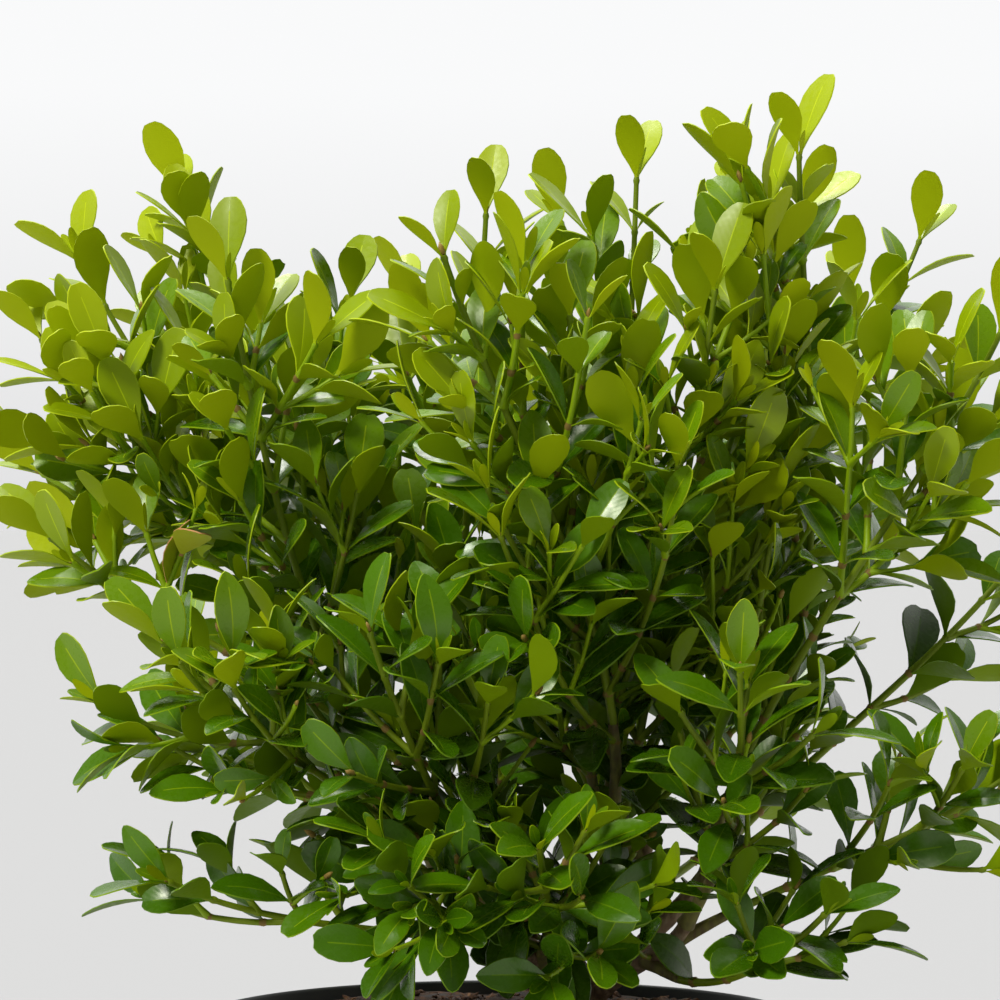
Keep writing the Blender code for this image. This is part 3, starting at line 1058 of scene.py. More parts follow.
# ================================================================ room to grow in
@dataclass
class Skins:
    """The skins of many tubes, to measure how near a point comes to each."""

    starts: list[Vector] = field(default_factory=list)
    ways: list[Vector] = field(default_factory=list)
    radii: list[float] = field(default_factory=list)
    owners: list[str] = field(default_factory=list)

    def add(self, line: Line, radius: float, owner: str) -> None:
        """Add a tube.

        Args:
            line: Its line.
            radius: Its radius.
            owner: What it belongs to.
        """
        for here, there in pairwise(line):
            self.starts.append(here)
            self.ways.append(there - here)
            self.radii.append(radius)
            self.owners.append(owner)

    def settle(self) -> None:
        """Keep the pieces as arrays, once all tubes are in."""
        self.start_array, self.way_array = np.array(self.starts), np.array(self.ways)
        self.length_array, self.radius_array = (self.way_array**2).sum(axis=1), np.array(self.radii)

    def distances(self, points: Sequence[Vector]) -> np.ndarray:
        """Measure from points to the straight pieces of the tubes.

        Args:
            points: The points.

        Returns:
            A row for each point, with its distance to each piece.
        """
        away = np.array(points)[:, None, :] - self.start_array
        share = np.clip((away * self.way_array).sum(axis=2) / self.length_array, 0, 1)
        return np.linalg.norm(away - share[..., None] * self.way_array, axis=2) - self.radius_array


@dataclass
class Space:
    """Where one mass may grow: nearest to its own leader, within its reach, clear of limbs and pot."""

    name: str
    leaders: Skins
    limbs: Skins
    reach: Vector
    centre: Vector
    overlap: float = 0.015
    clearance: float = 0.0008
    rise: float = 0.004
    spread: float = 0.010
    lowest: float = 0.0

    def __post_init__(self) -> None:
        """Find the pieces of its own leader, and how far out it reaches."""
        self.own = np.array(self.leaders.owners) == self.name
        self.widest = (self.reach - self.centre).xy.length + self.spread

    def holds(self, points: Sequence[Vector], near_limb: bool = False, below: float = 0.0) -> bool:
        """Return whether all points lie inside.

        Args:
            points: The points.
            near_limb: Whether they may be close to a limb.
            below: How far under the highest reach they have to stay.

        Returns:
            Whether they do.
        """
        if min(point.z for point in points) < self.lowest:
            return False
        if max(point.z for point in points) > self.reach.z + self.rise - below:
            return False
        if max((point - self.centre).xy.length for point in points) > self.widest - below:
            return False
        away = self.leaders.distances(points)
        own, other = away[:, self.own].min(axis=1), away[:, ~self.own].min(axis=1)
        if not (own < other + self.overlap).all():
            return False
        return near_limb or self.limbs.distances(points).min() > self.clearance


class Neighbours:
    """Trees of faces, found again by where they are, to see what a new shape would cross."""

    def __init__(self, cell: float) -> None:
        """Start with nothing in cells of this size."""
        self.cell = cell
        self.cells: dict[tuple[int, int, int], list[BVHTree]] = defaultdict(list)

    def key(self, point: Vector) -> tuple[int, int, int]:
        """Return the cell that holds a point."""
        return tuple(math.floor(value / self.cell) for value in point)

    def add(self, tree: BVHTree, points: Iterable[Vector]) -> None:
        """Remember a tree under the cells of its points."""
        for key in {self.key(point) for point in points}:
            self.cells[key].append(tree)

    def near(self, points: Iterable[Vector]) -> Iterator[BVHTree]:
        """Find the trees in and next to the cells of some points.

        Args:
            points: The points.

        Yields:
            Each such tree, once.
        """
        seen: set[int] = set()
        steps = (-1, 0, 1)
        for x, y, z in {self.key(point) for point in points}:
            for key in ((x + i, y + j, z + k) for i in steps for j in steps for k in steps):
                for tree in self.cells.get(key, ()):
                    if id(tree) not in seen:
                        seen.add(id(tree))
                        yield tree


# ================================================================ leaves
@dataclass(frozen=True)
class LeafForm:
    """One form of leaf, in shares of its length: it runs along +X, with its upper side to +Z."""

    width: float = 0.44
    bend: float = 0.40
    cup: float = 0.16
    bulge: float = 0.05
    notch: float = 0.020
    twist: float = 0.0
    sway: float = 0.0
    widest: float = 0.60
    foot_fill: float = 0.80
    blunt: float = 0.32
    arch: float = 2.6
    petiole: float = 0.07
    petiole_width: float = 0.040
    thickness: float = 0.015
    margin: float = 0.008
    petiole_margin: float = 0.2
    rows: tuple[float, ...] = (0.0, 0.15, 0.33, 0.51, 0.67, 0.81, 0.925)
    across: tuple[float, ...] = (-1.0, -0.55, -0.035, 0.035, 0.55, 1.0)
    below: tuple[float, ...] = (-1.0, 0.0, 1.0)
    below_tip: tuple[float, ...] = (-1.0, -0.55, 0.0, 0.55, 1.0)
    coarse_neck: float = 0.22
    coarse_side: float = 0.55
    coarse_tip: float = 0.98

    def half_width(self, share: float) -> float:
        """Measure the blade, which has a narrow foot and a round tip and is widest past its middle.

        Args:
            share: The place along the blade, below zero for the root of the petiole.

        Returns:
            Half the width there.
        """
        if share <= 0:
            return self.petiole_width / 2
        swing = math.sin(math.pi * share ** (math.log(0.5) / math.log(self.widest)))
        fullness = self.foot_fill - self.blunt * share
        return max(self.width / 2 * swing**fullness, self.petiole_width / 2)

    def beyond(self, across: float) -> float:
        """Return how far the round or notched tip runs past the last row, at a place across."""
        inwards = 1 - abs(across)
        return (1 - self.rows[-1]) * (1 - abs(across) ** self.arch) - self.notch * inwards**2

    def place(self, along: float, across: float, above: float) -> Vector:
        """Bend and twist a point with the blade.

        Args:
            along: How far along the flat leaf it lies.
            across: How far to the side.
            above: How far above it.

        Returns:
            Where it comes to lie.
        """
        turn = self.twist * along
        y = across * math.cos(turn) - above * math.sin(turn) + self.sway * along * along
        z = across * math.sin(turn) + above * math.cos(turn)
        angle = self.bend * along
        bent = Vector((math.sin(angle) / self.bend, 0, (math.cos(angle) - 1) / self.bend))
        return bent + Vector((z * math.sin(angle), y, z * math.cos(angle)))

    def row(self, share: float, columns: Sequence[float], lower: bool) -> Line:
        """Return the points across one side of the leaf.

        Args:
            share: The place along the blade, below zero for the root of the petiole.
            columns: Places across, from -1 to 1.
            lower: Whether it is the underside, which stands out round the upper one.

        Returns:
            The points.
        """
        half = self.half_width(share)
        along = 0 if share < 0 else self.petiole + (1 - self.petiole) * share
        tip = share == self.rows[-1]
        points = []
        for u in columns:
            rise = half * (self.cup * u * u + self.bulge * 4 * abs(u) * (1 - abs(u)) if share > 0 else 0)
            further = self.beyond(u) if tip else 0
            if lower:
                grown = half + self.margin * (1 if share > 0 else self.petiole_margin)
                further += self.margin if tip else 0
                points.append(self.place(along + further, u * grown, rise - self.thickness))
            else:
                points.append(self.place(along + further, u * half, rise))
        return points

    def mesh(self, name: str) -> bpy.types.Mesh:
        """Make a closed leaf, whose faces tell the upper side, the underside and the pale lines.

        Args:
            name: The mesh's name.

        Returns:
            The mesh.
        """
        shape = bmesh.new()
        part = shape.faces.layers.int.new("part")
        blade = shape.verts.layers.float_vector.new("blade")
        shares = (-1.0, *self.rows)
        upper, lower = [], []
        for share in shares:
            below = self.below_tip if share == self.rows[-1] else self.below
            for rows, columns in ((upper, self.across), (lower, below)):
                row = [shape.verts.new(point) for point in self.row(share, columns, rows is lower)]
                for u, vert in zip(columns, row):
                    vert[blade] = (u * self.half_width(share), share, 0)
                rows.append(row)
        facing = {}

        def cover(corners: Sequence[bmesh.types.BMVert], drawn: Side, faced: Side) -> None:
            """Add a face.

            Args:
                corners: Its corners.
                drawn: The side whose finish it has.
                faced: The side that it faces.
            """
            face = shape.faces.new(corners)
            face[part] = drawn.value
            face.smooth = True
            facing[face] = faced

        middle = len(self.across) // 2 - 1
        for i, (top, ahead) in enumerate(pairwise(upper)):
            for j in range(len(top) - 1):
                pale = i == 0 or (j == middle and i < len(shares) - 2)
                corners = [top[j], ahead[j], ahead[j + 1], top[j + 1]]
                cover(corners, Side.EDGE if pale else Side.UPPER, Side.UPPER)
        for i, (base, ahead) in enumerate(pairwise(lower)):
            step = (len(ahead) - 1) // 2
            for j in range(2):
                corners = [base[j], base[j + 1], *reversed(ahead[j * step : (j + 1) * step + 1])]
                cover(corners, Side.EDGE if i == 0 else Side.UNDER, Side.UNDER)
            for end in (0, -1):
                cover([upper[i][end], upper[i + 1][end], ahead[end], base[end]], Side.EDGE, Side.EDGE)
        cover([*upper[0], *reversed(lower[0])], Side.EDGE, Side.EDGE)
        top, under = upper[-1], lower[-1]
        cover([top[middle], top[middle + 1], under[2]], Side.EDGE, Side.EDGE)
        for j, k in ((0, 0), (1, 1), (3, 2), (4, 3)):
            cover([top[j], top[j + 1], under[k + 1], under[k]], Side.EDGE, Side.EDGE)
        bmesh.ops.recalc_face_normals(shape, faces=shape.faces)
        for edge in shape.edges:
            edge.smooth = len({facing[face] for face in edge.link_faces}) == 1
        return finished(shape, name)

    def coarse(self) -> Line:
        """Reduce the leaf to a few points, to test what it crosses.

        Returns:
            Its neck, one side, its tip, the other side and its middle.
        """
        half = self.half_width(self.coarse_side)
        side = self.petiole + (1 - self.petiole) * self.coarse_side
        rise = half * self.cup
        corners = ((self.coarse_neck, 0, 0), (side, -half, rise), (self.coarse_tip, 0, 0), (side, half, rise))
        return [self.place(*corner) for corner in (*corners, (side, 0, 0))]


COARSE_FACES = ((0, 1, 4), (4, 1, 2), (4, 2, 3), (0, 4, 3))
LEAF_FORMS = (
    LeafForm(),
    LeafForm(width=0.46, bend=0.50, cup=0.05, bulge=0.07, notch=0.040, widest=0.65),
    LeafForm(
        width=0.43, bend=0.30, cup=0.30, bulge=0.02, twist=0.15, notch=0.0, widest=0.57, blunt=0.16, arch=1.9
    ),
    LeafForm(
        width=0.41, bend=0.60, cup=0.12, bulge=0.05, sway=0.06, notch=0.0, widest=0.54, blunt=0.10, arch=1.7
    ),
    LeafForm(width=0.45, bend=0.44, cup=0.20, bulge=0.04, twist=-0.25, sway=-0.05, notch=0.03, widest=0.62),
    LeafForm(width=0.44, bend=0.20, cup=0.14, bulge=0.03, notch=0.01, widest=0.63),
    LeafForm(width=0.40, bend=0.38, cup=0.12, bulge=0.03, widest=0.60),
    LeafForm(width=0.32, bend=0.10, cup=0.22, bulge=0.0, widest=0.55, notch=0.0),
)
GROWN_FORMS = (0, 1, 2, 3, 4)
LOW_FORMS = (0, 2, 3, 3, 4)
YOUNG_FORMS = (5, 6)
CLOSED_FORM = 7


@dataclass
class Leaf:
    """A leaf in its place."""

    root: Vector
    turn: Matrix
    size: float
    form: int
    tone: Tone

    def corners(self, coarse: Line) -> Line:
        """Return the corners of its coarse form."""
        return [self.root + self.turn @ (self.size * corner) for corner in coarse]


def leaf_recipe() -> Recipe:
    """Set up leaves on points, each of the form, turn and size that its point carries.

    Returns:
        The recipe.
    """
    inputs = {"Forms": "Collection", "Upper": "Material", "Under": "Material", "Edge": "Material"}
    recipe = Recipe("leaves on points", inputs)
    turn, size = recipe.stored("turn", "FLOAT_VECTOR"), recipe.stored("size")
    leaves = recipe.placed(recipe.given["Geometry"], turn, size, recipe.stored("form", "INT"))
    for side in Side:
        leaves = recipe.painted(leaves, side.name.title(), recipe.holds("part", side))
    recipe.finish(leaves)
    return recipe


def points_mesh(name: str, items: Sequence[Any]) -> bpy.types.Mesh:
    """Make a point for each leaf or bud.

    Args:
        name: The mesh's name.
        items: The leaves or buds.

    Returns:
        The mesh, with the turn, the size and the form at each point.
    """
    mesh = mesh_of(name, [item.root for item in items], [], [])
    add_attribute(mesh, "turn", "FLOAT_VECTOR", [item.turn.to_euler() for item in items])
    add_attribute(mesh, "size", "FLOAT", [item.size for item in items])
    add_attribute(mesh, "form", "INT", [item.form for item in items])
    return mesh


# ================================================================ shoots
@dataclass
class Shoot:
    """A shoot with its pairs of leaves, and what it takes from the place where it grows."""

    mass: str
    line: Line
    order: int
    radii: Pair
    vigour: float
    nodes: list[tuple[float, Vector, Vector, Vector]] = field(default_factory=list)

    def set_nodes(self, first: float, spacing: float, end: float, turn: float) -> None:
        """Set the place of each pair of leaves, each a quarter turn on from the last.

        Args:
            first: Distance of the first pair from the shoot's foot.
            spacing: Distance between pairs.
            end: How far the shoot runs on past the last pair.
            turn: The last pair's turn about the shoot, from sideways.
        """
        last = length_of(self.line) - end
        count = max(1, round((last - first) / spacing))
        for index in range(count + 1):
            distance = first + (last - first) * index / count
            place, heading = point_at(self.line, distance)
            sideways = heading.cross(BACK).normalized()
            side = Quaternion(heading, turn + (count - index) * math.pi / 2) @ sideways
            self.nodes.append((distance, place, heading, side))


@dataclass
class Bud:
    """A bud in the crook of a leaf or at a tip."""

    root: Vector
    turn: Matrix
    size: float
    form: int = 0


@dataclass(frozen=True)
class BudForm:
    """A pointed bud in five scales, in shares of its length: it runs along +X."""

    sides: int = 5
    foot: float = -0.1
    rings: tuple[Pair, Pair] = ((0.15, 0.24), (0.60, 0.21))
    tip: float = 1.0

    def mesh(self) -> bpy.types.Mesh:
        """Make the bud.

        Returns:
            The mesh.
        """
        turns = [math.tau * i / self.sides for i in range(self.sides)]
        points = [(x, *polar(radius, turn)) for x, radius in self.rings for turn in turns]
        points += [(self.foot, 0, 0), (self.tip, 0, 0)]
        foot, tip = 2 * self.sides, 2 * self.sides + 1
        faces: list[tuple[int, ...]] = []
        for i in range(self.sides):
            j = (i + 1) % self.sides
            ahead, beside = i + self.sides, j + self.sides
            faces += [(foot, j, i), (i, j, beside, ahead), (ahead, beside, tip)]
        bud = mesh_of("bud", points, [], faces)
        bud.attributes.new("part", "INT", "FACE")
        return bud


@dataclass
class Room:
    """What the limbs leave free: a space for each mass."""

    limbs: Limbs
    trunk_room: float = 0.006
    stem_room: float = 0.0029
    bough_room: float = 0.0020
    bough_end: int = 3
    lowest: float = 0.1545
    floors: dict[str, float] = field(
        default_factory=lambda: {
            "left_far": 0.290,
            "left_side": 0.272,
            "left_bend": 0.224,
            "left_low": 0.186,
            "back_left_low": 0.200,
            "front_bottom": 0.158,
            "right_bottom": 0.172,
            "right_low": 0.201,
            "right_mid": 0.285,
            "right_far": 0.240,
            "back_right_low": 0.200,
        }
    )
    spaces: dict[str, Space] = field(default_factory=dict)

    def __post_init__(self) -> None:
        """Measure the limbs and set up the spaces."""
        wood, self.leaders = Skins(), Skins()
        wood.add([Vector(self.limbs.foot), Vector(self.limbs.fork)], self.trunk_room, "trunk")
        for name, line in self.limbs.stems.items():
            wood.add(line, self.stem_room, name)
        for name, line in self.limbs.boughs.items():
            wood.add(line[: -self.bough_end], self.bough_room, name)
        for name, line in self.limbs.leaders.items():
            self.leaders.add(line, 0, name)
        wood.settle()
        self.leaders.settle()
        centre = Vector(self.limbs.foot)
        for name, (_, _, reach) in self.limbs.reaches.items():
            lowest = self.floors.get(name, self.lowest)
            self.spaces[name] = Space(name, self.leaders, wood, Vector(reach), centre, lowest=lowest)

    def nearest(self, place: Vector) -> str:
        """Return the mass whose leader is nearest to a place."""
        return self.leaders.owners[int(self.leaders.distances([place])[0].argmin())]


@dataclass
class Branches:
    """The shoots, which grow on from the boughs, each within the reach of its mass."""

    limbs: Limbs
    room: Room
    rng: random.Random
    leader_foot: float = 0.25
    leader_turn: Pair = (0.5, 1.5)
    leader_radii: Pair = (0.00155, 0.0009)
    first_node: float = 0.005
    node_spacing: float = 0.0155
    branching: float = 0.85
    bare_tip: float = 0.018
    shoot_base: float = 0.014
    shoot_share: float = 0.52
    shoot_vary: Pair = (0.7, 1.15)
    shoot_angle: float = math.radians(44)
    angle_vary: Pair = (0.8, 1.15)
    shoot_radii: Pair = (0.00115, 0.0008)
    shoot_end: float = 0.0012
    first_pair: float = 0.012
    pair_spacing: float = 0.0150
    shortest: float = 0.013
    twig_branching: float = 0.45
    twig_length: Pair = (0.016, 0.034)
    twig_radii: Pair = (0.0009, 0.00065)
    twig_room: float = 0.6
    vigour_shares: Pair = (0.6, 0.4)
    spur_start: float = 0.4
    spur_spacing: float = 0.011
    spur_chance: float = 0.5
    spur_length: Pair = (0.020, 0.044)
    spur_angle: Pair = (0.9, 1.4)
    step: float = 0.007
    lift: float = 0.078
    stray: float = 0.045
    leaf_room: float = 0.012
    fullness: dict[str, float] = field(
        default_factory=lambda: {
            "right_low": 0.95,
            "right_bottom": 1.4,
            "right_front": 0.85,
            "front_bottom": 2.0,
            "left_top": 0.65,
            "back_left_top": 0.8,
            "left_mid": 0.7,
            "left_low": 1.2,
            "left_bend": 1.5,
            "back_left_low": 0.6,
            "back_right_low": 0.4,
            "right_mid": 0.9,
            "right_top": 1.5,
            "centre_top": 1.4,
            "right_inner": 1.4,
            "right_far": 0.65,
            "back_right_top": 0.6,
        }
    )
    shoots: list[Shoot] = field(default_factory=list)

    def grow(self) -> None:
        """Grow each mass from its leader: the side shoots, then their twigs, then the stems' spurs."""
        for name, leader in self.limbs.leaders.items():
            vigour = self.rng.uniform(-1, 1)
            bough = self.limbs.boughs[name]
            outer = stretch(bough, self.leader_foot * length_of(bough), length_of(bough))
            shoot = Shoot(name, outer[:-1] + leader, 0, self.leader_radii, vigour)
            turn = self.rng.uniform(*self.leader_turn)
            shoot.set_nodes(self.first_node, self.node_spacing, self.shoot_end, turn)
            self.shoots.append(shoot)
            self.branch(shoot, self.branching)
        for shoot in [shoot for shoot in self.shoots if shoot.order == 1]:
            self.branch(shoot, self.twig_branching)
        for line in self.limbs.stems.values():
            self.set_spurs(line)

    def branch(self, parent: Shoot, chance: float) -> None:
        """Let a shoot branch at its nodes, but for the last.

        Args:
            parent: The shoot.
            chance: How likely a side shoot is, where the mass is neither thin nor full.
        """
        full = self.fullness.get(parent.mass, 1.0)
        whole = length_of(parent.line)
        for distance, place, heading, side in parent.nodes[:-1]:
            left = whole - distance
            for way in (side, -side):
                if self.rng.random() > chance * full:
                    continue
                if parent.order == 0:
                    if left < self.bare_tip:
                        continue
                    length = self.shoot_base + self.shoot_share * left
                    length *= self.rng.uniform(*self.shoot_vary) * ((1 + full) / 2)
                    length, radii = max(length, self.twig_length[0]), self.shoot_radii
                else:
                    length, radii = self.rng.uniform(*self.twig_length), self.twig_radii
                    if left < self.twig_room * length:
                        continue
                angle = self.shoot_angle * self.rng.uniform(*self.angle_vary)
                line = self.run(parent.mass, place, branched(heading, way, angle), length)
                if length_of(line) >= self.shortest:
                    kept, new = self.vigour_shares
                    vigour = kept * parent.vigour + new * self.rng.uniform(-1, 1)
                    self.add(Shoot(parent.mass, line, parent.order + 1, radii, vigour))

    def set_spurs(self, line: Line) -> None:
        """Let a stem break into short leafy shoots, each within the reach of the nearest mass.

        Args:
            line: The stem's line.
        """
        whole = length_of(line)
        distance = self.spur_start * whole
        while distance < whole:
            place, heading = point_at(line, distance)
            distance += self.spur_spacing
            if self.rng.random() > self.spur_chance:
                continue
            mass = self.room.nearest(place)
            side = Quaternion(heading, self.rng.uniform(0, math.tau)) @ heading.orthogonal().normalized()
            length = self.rng.uniform(*self.spur_length)
            way = branched(heading, side, self.shoot_angle * self.rng.uniform(*self.spur_angle))
            spur = self.run(mass, place, way, length)
            if length_of(spur) >= self.shortest:
                self.add(Shoot(mass, spur, 1, self.twig_radii, self.rng.uniform(-1, 0)))

    def run(self, mass: str, start: Vector, heading: Vector, length: float) -> Line:
        """Draw a shoot that bends towards the light, and stops where it would leave its space.

        Args:
            mass: The mass that it belongs to.
            start: Its foot.
            heading: The way that it leaves its foot.
            length: How long it gets if nothing stops it.

        Returns:
            Its line.
        """
        line = [start]
        count = max(2, round(length / self.step))
        for _ in range(count):
            stray = Vector([self.rng.uniform(-1, 1) for _ in range(3)])
            heading = (heading + self.lift * UP + self.stray * stray).normalized()
            ahead = line[-1] + length / count * heading
            points = [line[-1].lerp(ahead, 0.5), ahead]
            if not self.room.spaces[mass].holds(points, len(line) == 1, self.leaf_room):
                break
            line.append(ahead)
        return line

    def add(self, shoot: Shoot) -> None:
        """Keep a side shoot, with its pairs of leaves turned at random."""
        shoot.set_nodes(self.first_pair, self.pair_spacing, self.shoot_end, self.rng.uniform(0, math.pi))
        self.shoots.append(shoot)


@dataclass(frozen=True)
class YouthAndLight:
    """What makes a leaf's tone young and painted lighter: nearness to its shoot's tip, height, way out, and
    the shoot's vigour.
    """

    base: float = 0.03
    tip: float = 0.20
    high_tip: float = 0.08
    height: float = 0.52
    out: float = 0.17
    vigour: float = 0.14
    tip_fade: float = 0.024
    low: float = 0.19
    climb: float = 0.22
    middle: float = 0.02
    radius: float = 0.16
    bounds: tuple[float, ...] = (0.20, 0.36, 0.54, 0.70, 0.84)
    vary: float = 0.06

    def at(self, place: Vector, to_tip: float, vigour: float) -> float:
        """Tell how young the leaves are, with painted light: lighter high and outside, painted shade low and
        inside.

        Args:
            place: Where they stand.
            to_tip: How far the tip of their shoot is.
            vigour: The vigour of their shoot.

        Returns:
            Their youth with painted light and shade, from 0 to about 1.
        """
        tip = math.exp(-to_tip / self.tip_fade)
        # Painted light and shade: height and way out make leaves high and outside lighter, and those low and
        # inside darker, partly for their age and partly for how light falls.
        height = min(1.0, max(0.0, (place.z - self.low) / self.climb))
        out = min(1.0, Vector((place.x - self.middle, place.y, 0)).length / self.radius)
        youth_and_light = self.base + (self.tip + self.high_tip * height) * tip + self.height * height
        return youth_and_light + self.out * out + self.vigour * vigour

    def tone(self, youth_and_light: float, rng: random.Random) -> Tone:
        """Return the tone of a leaf that is about so young and so brightly painted."""
        youth_and_light += rng.uniform(-self.vary, self.vary)
        return Tone(sum(youth_and_light > bound for bound in self.bounds))


@dataclass
class Foliage:
    """The leaves and the buds on the shoots."""

    shoots: list[Shoot]
    room: Room
    rng: random.Random
    youth_and_light: YouthAndLight = YouthAndLight()
    cell: float = 0.024
    skin_share: float = 0.8
    length: float = 0.0290
    tip_reach: float = 0.045
    tip_size: Pair = (0.84, 0.16)
    open_angle: float = math.radians(50)
    tip_angle: float = math.radians(22)
    young_from: float = 0.6
    young_length: float = 0.0265
    low: float = 0.29
    splay: Pair = (0.75, 1.3)
    face_lift: Pair = (0.1, 0.7)
    tilt: float = 0.3
    size_vary: Pair = (0.82, 1.08)
    root_share: float = 0.6
    tries: int = 9
    retry_loss: float = 0.06
    tip_lead: int = 2
    dry_place: Place = (-0.096, -0.035, 0.295)
    dry_leaves: int = 2
    bud_chance: float = 0.5
    bud_lean: float = 0.7
    bud_root: float = 0.7
    bud_length: Pair = (0.0010, 0.0018)
    tip_bud_chance: float = 0.35
    tip_bud_length: Pair = (0.0026, 0.0042)
    tip_youth: float = 0.12
    closed_angle: float = math.radians(10)
    closed_splay: Pair = (0.8, 1.6)
    closed_length: float = 0.0095
    closed_vary: Pair = (0.7, 1.3)
    closed_root: float = 0.5
    leaves: list[Leaf] = field(default_factory=list)
    buds: list[Bud] = field(default_factory=list)

    def __post_init__(self) -> None:
        """Keep what a leaf may not cross, which is the shoots at first."""
        self.coarse_forms = [form.coarse() for form in LEAF_FORMS]
        self.taken = Neighbours(self.cell)
        for shoot in self.shoots:
            self.remember(shoot)

    def remember(self, shoot: Shoot) -> None:
        """Keep a shoot's skin.

        Args:
            shoot: The shoot.
        """
        radius = self.skin_share * shoot.radii[1]
        for here, there in pairwise(shoot.line):
            if (there - here).length < TINY:
                continue
            across = (there - here).orthogonal().normalized() * radius
            other = (there - here).normalized().cross(across)
            corners = [p + w for p in (here, there) for w in (across, -across, other, -other)]
            tree = BVHTree.FromPolygons(corners, [(0, 1, 5, 4), (2, 3, 7, 6)])
            self.taken.add(tree, [here, here.lerp(there, 0.5), there])

    def grow(self) -> None:
        """Hang the leaves, the tips first, let a few dry up, and end the shoots."""
        for site in sorted(self.sites(), key=lambda site: site[0]):
            self.hang(*site[1:])
        self.wither()
        self.set_tips()

    def sites(self) -> Iterator[tuple[float, Shoot, int, Vector]]:
        """Find where leaves can hang.

        Yields:
            The rank, lowest at the tip of a shoot, then the shoot, the node and the side.
        """
        for shoot in self.shoots:
            last = len(shoot.nodes) - 1
            for index, (_, _, _, side) in enumerate(shoot.nodes):
                lead = self.tip_lead if index == last else 0
                for way in (side, -side):
                    yield last - index + self.rng.random() - lead, shoot, index, way

    def hang(self, shoot: Shoot, index: int, side: Vector) -> None:
        """Hang a leaf where it crosses nothing and stays in the space, or leave it out.

        Args:
            shoot: The shoot.
            index: Number of the node.
            side: The side of the shoot that the leaf stands on.
        """
        distance, place, heading, _ = shoot.nodes[index]
        left = length_of(shoot.line) - distance
        share = min(1.0, left / self.tip_reach)
        # The leaf's tone mixes its age with painted light and shade by height and way out.
        freshness_and_light = self.youth_and_light.at(place, left, shoot.vigour)
        angle = self.tip_angle + (self.open_angle - self.tip_angle) * share
        length, forms = self.length * (self.tip_size[0] + self.tip_size[1] * share), GROWN_FORMS
        if index == len(shoot.nodes) - 1 and freshness_and_light > self.young_from:
            length, forms = self.young_length, YOUNG_FORMS
        elif place.z < self.low:
            forms = LOW_FORMS
        for attempt in range(self.tries):
            way = branched(heading, side, angle * self.rng.uniform(*self.splay))
            face = heading + self.rng.uniform(*self.face_lift) * UP
            tilt = Quaternion(way, self.rng.uniform(-self.tilt, self.tilt))
            face = tilt @ (face - face.dot(way) * way).normalized()
            turn = Matrix((way, face.cross(way), face)).transposed()
            size = length * self.rng.uniform(*self.size_vary) * (1 - self.retry_loss * attempt)
            form = self.rng.choice(forms)
            root = place + self.root_share * shoot.radii[1] * way
            leaf = Leaf(root, turn, size, form, self.youth_and_light.tone(freshness_and_light, self.rng))
            corners = leaf.corners(self.coarse_forms[form])
            blade = BVHTree.FromPolygons(corners, COARSE_FACES)
            crosses = any(blade.overlap(other) for other in self.taken.near(corners))
            if not crosses and self.room.spaces[shoot.mass].holds(corners[1:4]):
                self.leaves.append(leaf)
                self.taken.add(blade, corners)
                self.set_bud(shoot, place, heading, way)
                return

    def set_bud(self, shoot: Shoot, place: Vector, heading: Vector, way: Vector) -> None:
        """Set a bud in the crook of a leaf, or leave it out.

        Args:
            shoot: The shoot.
            place: Where the leaf stands.
            heading: The shoot's heading there.
            way: The leaf's heading.
        """
        if self.rng.random() >= self.bud_chance:
            turn = (heading + self.bud_lean * way).normalized().to_track_quat("X", "Z").to_matrix()
            root = place + self.bud_root * shoot.radii[1] * way
            self.buds.append(Bud(root, turn, self.rng.uniform(*self.bud_length)))

    def wither(self) -> None:
        """Let the leaves nearest to one place dry up."""
        spot = Vector(self.dry_place)
        nearest = sorted(self.leaves, key=lambda leaf: (leaf.root - spot).length)
        for leaf in nearest[: self.dry_leaves]:
            leaf.tone = Tone.DRY

    def set_tips(self) -> None:
        """End each shoot in a bud, or in two small leaves that still stand close together."""
        for shoot in self.shoots:
            place, heading = shoot.line[-1], (shoot.line[-1] - shoot.line[-2]).normalized()
            _, _, _, last_side = shoot.nodes[-1]
            side = heading.cross(last_side).normalized()
            if self.rng.random() < self.tip_bud_chance:
                turn = heading.to_track_quat("X", "Z").to_matrix()
                self.buds.append(Bud(place, turn, self.rng.uniform(*self.tip_bud_length)))
                continue
            # The tip leaves' tone also mixes age with painted light and shade by height and way out.
            freshness_and_light = self.youth_and_light.at(place, 0.0, shoot.vigour) + self.tip_youth
            size = self.closed_length * self.rng.uniform(*self.closed_vary)
            for way in (side, -side):
                along = branched(heading, way, self.closed_angle * self.rng.uniform(*self.closed_splay))
                face = (heading - heading.dot(along) * along).normalized()
                turn = Matrix((along, face.cross(along), face)).transposed()
                root = place + self.closed_root * shoot.radii[1] * way
                tone = self.youth_and_light.tone(freshness_and_light, self.rng)
                self.leaves.append(Leaf(root, turn, size, CLOSED_FORM, tone))

    def build(self, masses: list[str]) -> None:
        """Make the leaves, a piece for each tone, and the buds.

        Args:
            masses: Names of the solids that they stand for.
        """
        recipe = leaf_recipe()
        sides = [side.name.title() for side in Side]
        forms = templates("leaf form", [form.mesh(f"leaf {i}") for i, form in enumerate(LEAF_FORMS)])
        for finish in LEAF_FINISHES:
            chosen = [leaf for leaf in self.leaves if leaf.tone is finish.tone]
            name = f"leaves_{finish.tone.name.lower()}"
            LOG.info("%s: %d leaves", name, len(chosen))
            values = dict(zip(sides, finish.materials())) | {"Forms": forms}
            hand_over(recipe.run(name, points_mesh(name, chosen), values), Slot.FOLIAGE, masses)
        discard(forms)
        forms = templates("bud form", [BudForm().mesh()])
        values = dict.fromkeys(sides, BUD_SCALE.material()) | {"Forms": forms}
        hand_over(recipe.run("buds", points_mesh("buds", self.buds), values), Slot.YOUNG_BARK, masses)
        discard(forms)


